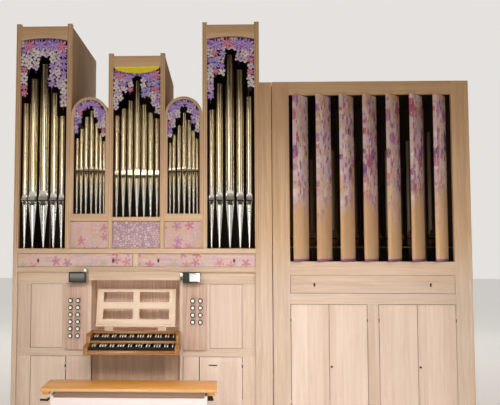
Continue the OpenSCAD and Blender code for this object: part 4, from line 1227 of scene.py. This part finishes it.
def makeStem(points):
    # a thin stem drawn down a column: a small block extruded from point to point
    x, z = points[0]
    mid = (vine["stemFront"] + vine["stemBack"]) / 2
    wide = vine["stemWide"]
    o = addCube((x, mid, z), (wide, vine["stemBack"] - vine["stemFront"], 0.004))
    editOnly(o, "FACE", [lastFace(o, 2, -1)])
    for (xa, za), (xb, zb) in zip(points, points[1:]):
        bpy.ops.mesh.extrude_region_move(TRANSFORM_OT_translate={"value": (xb - xa, 0, zb - za)})
    bpy.ops.object.mode_set(mode="OBJECT")
    paint(o, paints["stem"])
    return o


def pipesBetween(xa, xb):
    return sorted([b for b in frontBoxes if xa < (b[0].x + b[1].x) / 2 < xb], key=lambda b: b[0].x)


def endAbove(boxes, x):
    # height where the shade ends over the pipe that stands at x
    for i, (low, high) in enumerate(boxes[:-1]):
        if x <= (high.x + boxes[i + 1][0].x) / 2:
            return high.z + vine["above"]
    return boxes[-1][1].z + vine["above"]


def fillShade(xa, xb, headAt, pitch, rng, masters):
    # columns of leaves and bunches from the head down to just above the pipes
    leaf, bunches = masters
    boxes = pipesBetween(xa, xb)
    columns = max(3, round((xb - xa) / (pitch * 0.88)))
    step = (xb - xa) / columns
    parts = []
    for i in range(columns):
        x0 = xa + step * (i + 0.5)
        head = headAt(x0)
        end = max(endAbove(boxes, x0 - 0.3 * pitch), endAbove(boxes, x0 + 0.3 * pitch))
        reach = head - end
        if reach < pitch * 0.8:
            parts.append(copyPart(leaf, (x0, vine["leafBack"], head - pitch * 0.40), 0.0, pitch,
                                  paints["violet"]))
            continue
        bend = pitch * 0.10 * (1 if i % 2 else -1)
        parts.append(makeStem([(x0 + bend * math.sin(t * 1.9), head - 0.001 - (reach - 0.01) * t / 6)
                               for t in range(7)]))
        z = head - pitch * (0.46 if i % 2 else 0.62)
        row = 0
        while z > end + pitch * 0.44:
            x = x0 + rng.uniform(-1, 1) * vine["jitter"] * pitch
            x = min(max(x, xa + pitch * 0.5), xb - pitch * 0.5)
            turn = math.radians(rng.uniform(-24, 24))
            high = row == 0
            if high and i % 2 == 1 or not high and rng.random() < vine["leafShare"]:
                size = pitch * (vine["topLeaf"] if high else vine["leaf"]) * rng.uniform(0.94, 1.06)
                tint = rng.choice(["violet", "violet", "violet", "crimson"] if high
                                  else ["violet", "violet", "crimson", "blue"])
                x = min(max(x, xa + size * 0.42), xb - size * 0.42)
                low = z - size * (0.22 if high else 0.0)
                depth = vine["leafBack"] - (0.0055 if high else 0.002)
                parts.append(copyPart(leaf, (x, depth, low), turn, size, paints[tint]))
            else:
                tint = rng.choice(["cream", "cream", "lilac"] if not high else ["lilac", "violet"])
                bunch = rng.choice(bunches)
                depth = vine["bunchBack"] + rng.uniform(-0.001, 0.001)
                size = pitch * rng.uniform(1.0, 1.1)
                parts.append(copyPart(bunch, (x, depth, z), turn, size, paints[tint]))
            z -= pitch * rng.uniform(0.86, 0.98)
            row += 1
    return parts


def towerHeadAt(side):
    half = (opening["towerOut"] - opening["towerIn"]) / 2
    mid = side * (opening["towerOut"] + opening["towerIn"]) / 2
    return lambda x: opening["towerHead"] + opening["towerRise"] * (1 - min(1.0, abs(x - mid) / half) ** 2)


def archHeadAt(side):
    mid = side * archX
    return lambda x: archSpring + math.sqrt(max(0.0, opening["archHalf"] ** 2 - (x - mid) ** 2))


lunetteLook = {"deep": 0.062, "thick": 0.009, "rim": 0.007, "back": 0.0098}


def makeLunette(half, head, deep):
    # a plain gilt half-round shell under the centre head, with a scalloped edge
    bpy.ops.mesh.primitive_circle_add(vertices=72, radius=1, fill_type="NGON", location=(0, 0, 0),
                                      rotation=(math.radians(90), 0, 0))
    o = bpy.context.object
    applyPlace(o)
    editAll(o)
    bpy.ops.mesh.bisect(plane_co=(0, 0, 0), plane_no=(0, 0, 1), clear_outer=True, use_fill=False)
    bpy.ops.object.mode_set(mode="OBJECT")
    for v in o.data.vertices:
        a = math.atan2(-v.co.z, v.co.x)
        flute = 1 + 0.045 * abs(math.cos(a * 11)) if v.co.z < -0.001 else 1.0
        wide = 1.0 if abs(v.co.z) < 0.02 else flute
        v.co = (v.co.x * half * wide * 0.955, 0, head + v.co.z * deep * flute)
    editAll(o)
    bpy.ops.mesh.extrude_region_move(TRANSFORM_OT_translate={"value": (0, -lunetteLook["thick"], 0)})
    bpy.ops.mesh.inset(thickness=lunetteLook["rim"], depth=0.0)
    bpy.ops.transform.translate(value=(0, 0.002, 0))
    faceOutward()
    o.data.transform(Matrix.Translation((0, lunetteLook["back"], 0)))
    smoothByAngle(o, 30)
    paint(o, paints["gold"])
    return o


def makeShades():
    # one piece for each of the five openings, all from the same masters
    rng = random.Random(vine["seed"])
    leaf = makeLeaf("leafMaster")
    bunches = [makeGrapes("bunchA", [(-0.25, 0.22, 0.25), (0.27, 0.21, 0.24), (0.0, -0.12, 0.27),
                                     (-0.36, -0.28, 0.18), (0.32, -0.36, 0.22)]),
               makeGrapes("bunchB", [(-0.24, 0.25, 0.26), (0.28, 0.24, 0.24), (-0.26, -0.24, 0.25),
                                     (0.24, -0.26, 0.27)]),
               makeGrapes("bunchC", [(0.02, 0.30, 0.26), (-0.31, 0.0, 0.25), (0.31, -0.04, 0.26),
                                     (0.0, -0.34, 0.26)])]
    masters = (leaf, bunches)
    pitch = vine["pitch"]
    half = opening["centreHalf"]
    lensDeep = lunetteLook["deep"]
    groups = []
    for side, label in ((-1, "left"), (1, "right")):
        inner, outer = side * opening["towerIn"], side * opening["towerOut"]
        groups.append((label + "TowerShade", min(inner, outer), max(inner, outer), towerHeadAt(side),
                       pitch["tower"]))
        mid = side * archX
        groups.append((label + "FlatShade", mid - opening["archHalf"], mid + opening["archHalf"],
                       archHeadAt(side), pitch["flat"]))
    groups.append(("centreShade", -half, half, lambda x: opening["centreHead"] - 0.8 * lensDeep
                   * math.sqrt(max(0.0, 1 - (x / half) ** 2)), pitch["centre"]))
    for name, xa, xb, headAt, step in groups:
        parts = fillShade(xa, xb, headAt, step, rng, masters)
        if name == "centreShade":
            parts.append(makeLunette(half - 0.004, opening["centreHead"] + 0.001, lensDeep))
        finishPiece(joinAll(parts, name), "case", "shade_paint")
    for m in [leaf] + bunches:
        bpy.data.objects.remove(m)
    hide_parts("pipe_shades")


makeShades()
print("shades carved")


# Keys and stop knobs

keyLook = {"sharpAfter": (1, 2, 4, 5, 6), "naturals": 33, "pitch": 0.0235, "gap": 0.0011,
           "sharpWide": 0.0092, "sharpHigh": 0.0165, "sharpTop": 0.80, "sharpRake": 0.55,
           "sharpRows": ((0.8180, -0.200), (0.8850, -0.090)), "sharpBack": -0.016, "keysLeft": -0.38775,
           "railHalf": 0.384, "railBack": -0.008, "railHigh": 0.006}


def makeBlock(name, low, high, bevel, segments=2):
    # a softened block between two corners
    size = Vector(high) - Vector(low)
    mid = (Vector(high) + Vector(low)) / 2
    o = addCube(mid, size)
    o.name = name
    softenEdges(o, bevel, segments)
    return o


def makeNaturals():
    # each packed slab shown as its row of single keys
    for n, (low, high) in enumerate(partBoxes("manual_naturals")):
        pitch = (high.x - low.x) / keyLook["naturals"]
        wide = pitch - keyLook["gap"]
        master = makeBlock("natural", (0, low.y, low.z + 0.002), (wide, high.y, high.z), 0.0011)
        smoothByAngle(master)
        paint(master, keyBlack)
        parts = [copyPart(master, (low.x + k * pitch + keyLook["gap"] / 2, 0, 0))
                 for k in range(keyLook["naturals"])]
        bpy.data.objects.remove(master)
        finishPiece(joinAll(parts, f"naturals{n + 1}"), "case", "key_black")
    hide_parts("manual_naturals")


def makeSharp(deep):
    # a white topped sharp with a raked nose, its back at y 0
    wide, high = keyLook["sharpWide"], keyLook["sharpHigh"]
    o = addCube((0, -deep / 2, high / 2), (wide, deep, high))
    editOnly(o, "VERT", [v.index for v in o.data.vertices if v.co.z > high / 2])
    bpy.ops.transform.resize(value=(keyLook["sharpTop"], 1, 1), center_override=(0, -deep / 2, high))
    bpy.ops.object.mode_set(mode="OBJECT")
    editOnly(o, "VERT", [v.index for v in o.data.vertices if v.co.z > high / 2 and v.co.y < -deep / 2])
    bpy.ops.transform.translate(value=(0, high * keyLook["sharpRake"], 0))
    bpy.ops.object.mode_set(mode="OBJECT")
    softenEdges(o, 0.0012)
    smoothByAngle(o)
    paint(o, keyWhite)
    return o


def makeSharps():
    # each row of sharps, and the dark rail that they stand against
    k = keyLook
    for n, (z, front) in enumerate(k["sharpRows"]):
        master = makeSharp(k["sharpBack"] - front)
        parts = []
        for i in range(1, k["naturals"]):
            if (i - 1) % 7 + 1 in k["sharpAfter"]:
                parts.append(copyPart(master, (k["keysLeft"] + i * k["pitch"], k["sharpBack"], z)))
        rail = makeBlock("sharpRail", (-k["railHalf"], k["sharpBack"], z),
                         (k["railHalf"], k["railBack"], z + k["railHigh"]), 0.001)
        paint(rail, knobDark)
        parts.append(rail)
        bpy.data.objects.remove(master)
        finishPiece(joinAll(parts, f"sharps{n + 1}"), "case", "key_white")
    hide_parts("manual_sharps")


makeNaturals()
makeSharps()


knobLook = {"grown": 1.12, "sides": 40}


def spinProfile(rows, sides, x, y, z):
    # a turned piece along Y: rows of (depth behind the front, radius), with closed ends
    bpy.ops.mesh.primitive_circle_add(vertices=sides, radius=rows[0][1], fill_type="NGON",
                                      location=(x, y + rows[0][0], z), rotation=(math.radians(90), 0, 0))
    o = bpy.context.object
    applyPlace(o)
    editAll(o)
    for (ya, ra), (yb, rb) in zip(rows, rows[1:]):
        bpy.ops.mesh.extrude_region_move(TRANSFORM_OT_translate={"value": (0, yb - ya, 0)})
        if abs(ra - rb) > 1e-7:
            bpy.ops.transform.resize(value=(rb / ra, 1, rb / ra), center_override=(x, y + yb, z))
    faceOutward()
    return o


def makeStopKnob(node):
    # a turned dark knob with a white face, on its shaft
    low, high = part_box(node)
    r = knobLook["grown"] * (high[0] - low[0]) / 2
    x, z, y = (low[0] + high[0]) / 2, (low[2] + high[2]) / 2, low[1]
    rows = [(0.0012, r * 0.46), (0.0, r * 0.56), (0.0, r * 0.62), (0.0024, r * 0.66), (0.0026, r * 0.76),
            (0.0018, r * 0.88), (0.0036, r * 0.975), (0.0070, r), (0.0105, r * 0.97), (0.0140, r * 0.84),
            (0.0165, r * 0.62), (0.0180, r * 0.42), (0.0210, r * 0.34), (high[1] - low[1], r * 0.30)]
    o = spinProfile(rows, knobLook["sides"], x, y, z)
    paint(o, porcelain, knobDark)
    for f in o.data.polygons:
        c = f.center
        out = math.hypot(c.x - x, c.z - z)
        f.material_index = 0 if c.y < y + 0.0015 and out < r * 0.65 else 1
    smoothByAngle(o, 30)
    o.name = node + "Knob"
    return finishPiece(o, node, "knob_white", node)


for prefix, count in (("stop_l", 12), ("stop_r", 8)):
    for k in range(1, count + 1):
        makeStopKnob(f"{prefix}{k}")
print("keys and knobs made")


# Mirrors, lamps and the crank

mirrorLook = {"x": 0.531, "wide": 0.160, "low": 1.388, "high": 1.484, "front": -0.100, "back": -0.078,
              "rim": 0.007, "sunk": 0.001, "paleFrom": 0.058, "armHalf": 0.012, "armBack": 0.030}
lampLook = {"places": ((-0.455, 1.504, 0.0), (0.437, 1.466, 0.030)), "front": -0.120, "deep": 0.050,
            "shade": 0.0205, "lens": 0.0130, "stem": 0.004, "lap": 0.002}


def makeMirror(side, glass, glassFrom):
    # a flat case with the glass let into its front, on a short arm from the wall
    m = mirrorLook
    x = side * m["x"]
    half = m["wide"] / 2
    body = makeBlock("mirrorBody", (x - half, m["front"], m["low"]),
                     (x + half, m["back"], m["high"]), 0.003, 3)
    paint(body, blackMetal)
    mid = (m["low"] + m["high"]) / 2
    thick = m["armHalf"]
    arm = makeBlock("mirrorArm", (x - thick, m["back"] - 0.001, mid - thick),
                    (x + thick, m["armBack"], mid + thick), 0.003)
    paint(arm, blackMetal)
    pane = makeBlock("mirrorPane", (x - half + glassFrom, m["front"] - 0.002, m["low"] + m["rim"]),
                     (x + half - m["rim"], m["front"] + 0.004, m["high"] - m["rim"]), 0.0008, 1)
    editOnly(pane, "FACE", [lastFace(pane, 1, -1)])
    bpy.ops.mesh.inset(thickness=0.0045, depth=0.0)
    bpy.ops.transform.translate(value=(0, m["sunk"], 0))
    bpy.ops.object.mode_set(mode="OBJECT")
    paint(pane, chrome if glassFrom > 0.02 else blackMetal, glass)
    for f in pane.data.polygons:
        f.material_index = 1 if f.select else 0
    return [body, arm, pane]


def makeLamp(x, z, wall):
    # a small turned spot lamp: lens, bright ring, shade and a stem to the wall
    deep, wide, lens, thin = (lampLook[key] for key in ("deep", "shade", "lens", "stem"))
    y, lap = lampLook["front"], lampLook["lap"]
    shade = spinProfile([(0.0055, lens * 0.3), (0.0045, lens * 0.7), (0.006, lens), (0.0, wide * 0.86),
                         (0.001, wide), (0.008, wide), (0.026, wide * 0.80), (0.042, wide * 0.55),
                         (deep, 0.006)], 36, x, y, z)
    paint(shade, chrome, lampGlow)
    for f in shade.data.polygons:
        c = f.center
        f.material_index = 1 if math.hypot(c.x - x, c.z - z) < lens * 0.98 and c.y < y + 0.0065 else 0
    stem = spinProfile([(0.0, thin * 0.9), (0.001, thin), (wall - y - deep + lap, thin)], 20,
                       x, y + deep - lap, z)
    paint(stem, chrome)
    return [shade, stem]


def makeMirrorsAndLamps():
    # the right mirror's glass is a pale painted reflection and leaves a bright strip of its case bare
    parts = makeMirror(-1, mirrorGlass, mirrorLook["rim"])
    parts += makeMirror(1, mirrorPaintedReflection, mirrorLook["paleFrom"])
    for x, z, wall in lampLook["places"]:
        parts += makeLamp(x, z, wall)
    o = joinAll(parts, "mirrorsAndLamps")
    smoothByAngle(o, 35)
    finishPiece(o, "case", "black_metal", "mirrors_and_lamps")


makeMirrorsAndLamps()
dress("bench_crank", "bench_crank", "black_metal", lambda c, n, low, high: blackMetal, bevel=0.002, seed=61)
print("mirrors, lamps and crank made")


# Floor, backdrop light, lamps and camera

roomLook = {"floorSize": 40.0, "cameraAt": (0.757, -5.578, 1.82), "pitch": 3.24, "yaw": 1.71,
            "lens": 42.52, "shiftX": 0.1036, "floorGlow": (0.42, 0.85), "surround": 0.52}


def makeFloor():
    # a wide pale floor that glows a little more towards the horizon
    bpy.ops.mesh.primitive_plane_add(size=roomLook["floorSize"], location=(1, 0, -0.001))
    floor = bpy.context.object
    floor.name = "floor"
    m, w, b, p = startMaterial("paleFloor", rough=0.75)
    n = w.noise(p, 3.0, 3.0, 0.5)
    tint = w.mix(n, (0.66, 0.64, 0.61, 1), (0.70, 0.68, 0.65, 1))
    w.feed(b.inputs["Base Color"], tint)
    near, far = roomLook["floorGlow"]
    glow = w.remap(w.split(p)[1], 0.5, 5.0, near, far)
    w.feed(b.inputs["Emission Color"], w.dim(tint, glow))
    b.inputs["Emission Strength"].default_value = 1.0
    paint(floor, m)


def makeWorld():
    # soft warm surround, brighter in front of the organ and dark behind and above it
    world = bpy.data.worlds.new("studio")
    bpy.context.scene.world = world
    world.use_nodes = True
    tree = world.node_tree
    tree.nodes.clear()
    w = Wires(tree)
    out = tree.nodes.new("ShaderNodeOutputWorld")
    coord = tree.nodes.new("ShaderNodeTexCoord")
    x, y, z = w.split(coord.outputs["Generated"])
    surround = w.ramp(w.remap(z, -0.5, 0.5), [
        (0.0, (0.55, 0.52, 0.48)), (0.46, (0.50, 0.45, 0.38)), (0.52, (0.34, 0.27, 0.18)),
        (0.60, (0.20, 0.155, 0.10)), (0.75, (0.13, 0.10, 0.075)), (1.0, (0.11, 0.09, 0.07))])
    ahead = w.remap(y, 0.45, -0.75, 0.35, 1.0)
    sky = tree.nodes.new("ShaderNodeBackground")
    w.feed(sky.inputs["Color"], w.dim(surround, ahead))
    sky.inputs["Strength"].default_value = roomLook["surround"]
    seen = tree.nodes.new("ShaderNodeBackground")
    seen.inputs["Color"].default_value = (0.78, 0.76, 0.73, 1)
    seen.inputs["Strength"].default_value = 1.0
    path = tree.nodes.new("ShaderNodeLightPath")
    blend = tree.nodes.new("ShaderNodeMixShader")
    tree.links.new(path.outputs["Is Camera Ray"], blend.inputs[0])
    tree.links.new(sky.outputs[0], blend.inputs[1])
    tree.links.new(seen.outputs[0], blend.inputs[2])
    tree.links.new(blend.outputs[0], out.inputs["Surface"])


def addArea(name, place, target, size, power, colour, spread=180, glossy=False):
    # an unseen area lamp aimed at a point; a glossy one shows in the pipes
    bpy.ops.object.light_add(type="AREA", location=place)
    o = bpy.context.object
    o.name = name
    o.data.shape = "RECTANGLE"
    o.data.size, o.data.size_y = size
    o.data.energy = power
    o.data.color = colour
    o.data.spread = math.radians(spread)
    aim = Vector(target) - Vector(place)
    o.rotation_euler = aim.to_track_quat("-Z", "Y").to_euler()
    o.visible_glossy = glossy
    o.visible_camera = False


makeFloor()
makeWorld()
addArea("key", (1.3, -3.3, 3.0), (1.3, 0.0, 0.15), (4.4, 0.7), 35, (0.97, 0.97, 1.0), 82)
addArea("upperFill", (1.5, -4.6, 4.5), (1.3, 0.2, 2.4), (4.0, 1.5), 30, (1.0, 0.64, 0.36))
addArea("lowFill", (0.6, -5.0, 1.3), (0.8, 0.2, 0.7), (4.0, 1.2), 10, (1.0, 0.98, 0.97))
addArea("footStrip", (-0.4, -4.6, 0.9), (0.0, 0.0, 2.0), (0.8, 1.4), 18, (0.95, 1.0, 1.0), glossy=True)
addArea("leftStrip", (-3.4, -4.6, 2.4), (0.0, 0.0, 2.2), (0.5, 4.0), 17, (1.0, 0.90, 0.72), glossy=True)
addArea("rightStrip", (4.4, -4.6, 2.4), (0.0, 0.0, 2.2), (0.5, 4.0), 19, (1.0, 0.86, 0.62), glossy=True)
addArea("middleStrip", (-0.55, -4.7, 2.15), (-0.1, 0.0, 2.2), (0.32, 2.3), 17, (1.0, 0.95, 0.84),
        glossy=True)
addArea("backFill", (1.0, 5.5, 3.4), (1.0, 1.0, 1.6), (4.0, 2.5), 120, (1.0, 0.96, 0.9))
addArea("leftFill", (-7.0, 0.9, 2.8), (-1.2, 0.6, 1.9), (2.5, 3.0), 110, (1.0, 0.95, 0.88))
addArea("rightFill", (9.0, 0.9, 2.8), (3.1, 0.6, 1.7), (2.5, 3.0), 70, (1.0, 0.95, 0.88))
addArea("topFill", (1.0, 0.9, 6.5), (1.0, 0.9, 3.0), (5.0, 2.5), 45, (1.0, 0.94, 0.86))

bpy.ops.object.camera_add(location=roomLook["cameraAt"],
                          rotation=(math.radians(90 + roomLook["pitch"]), 0, math.radians(roomLook["yaw"])))
camera = bpy.context.object
camera.data.lens = roomLook["lens"]
camera.data.sensor_width = 36.0
camera.data.shift_x = roomLook["shiftX"]
bpy.context.scene.camera = camera
bpy.context.scene.view_settings.view_transform = "Standard"
print("light and camera ready")
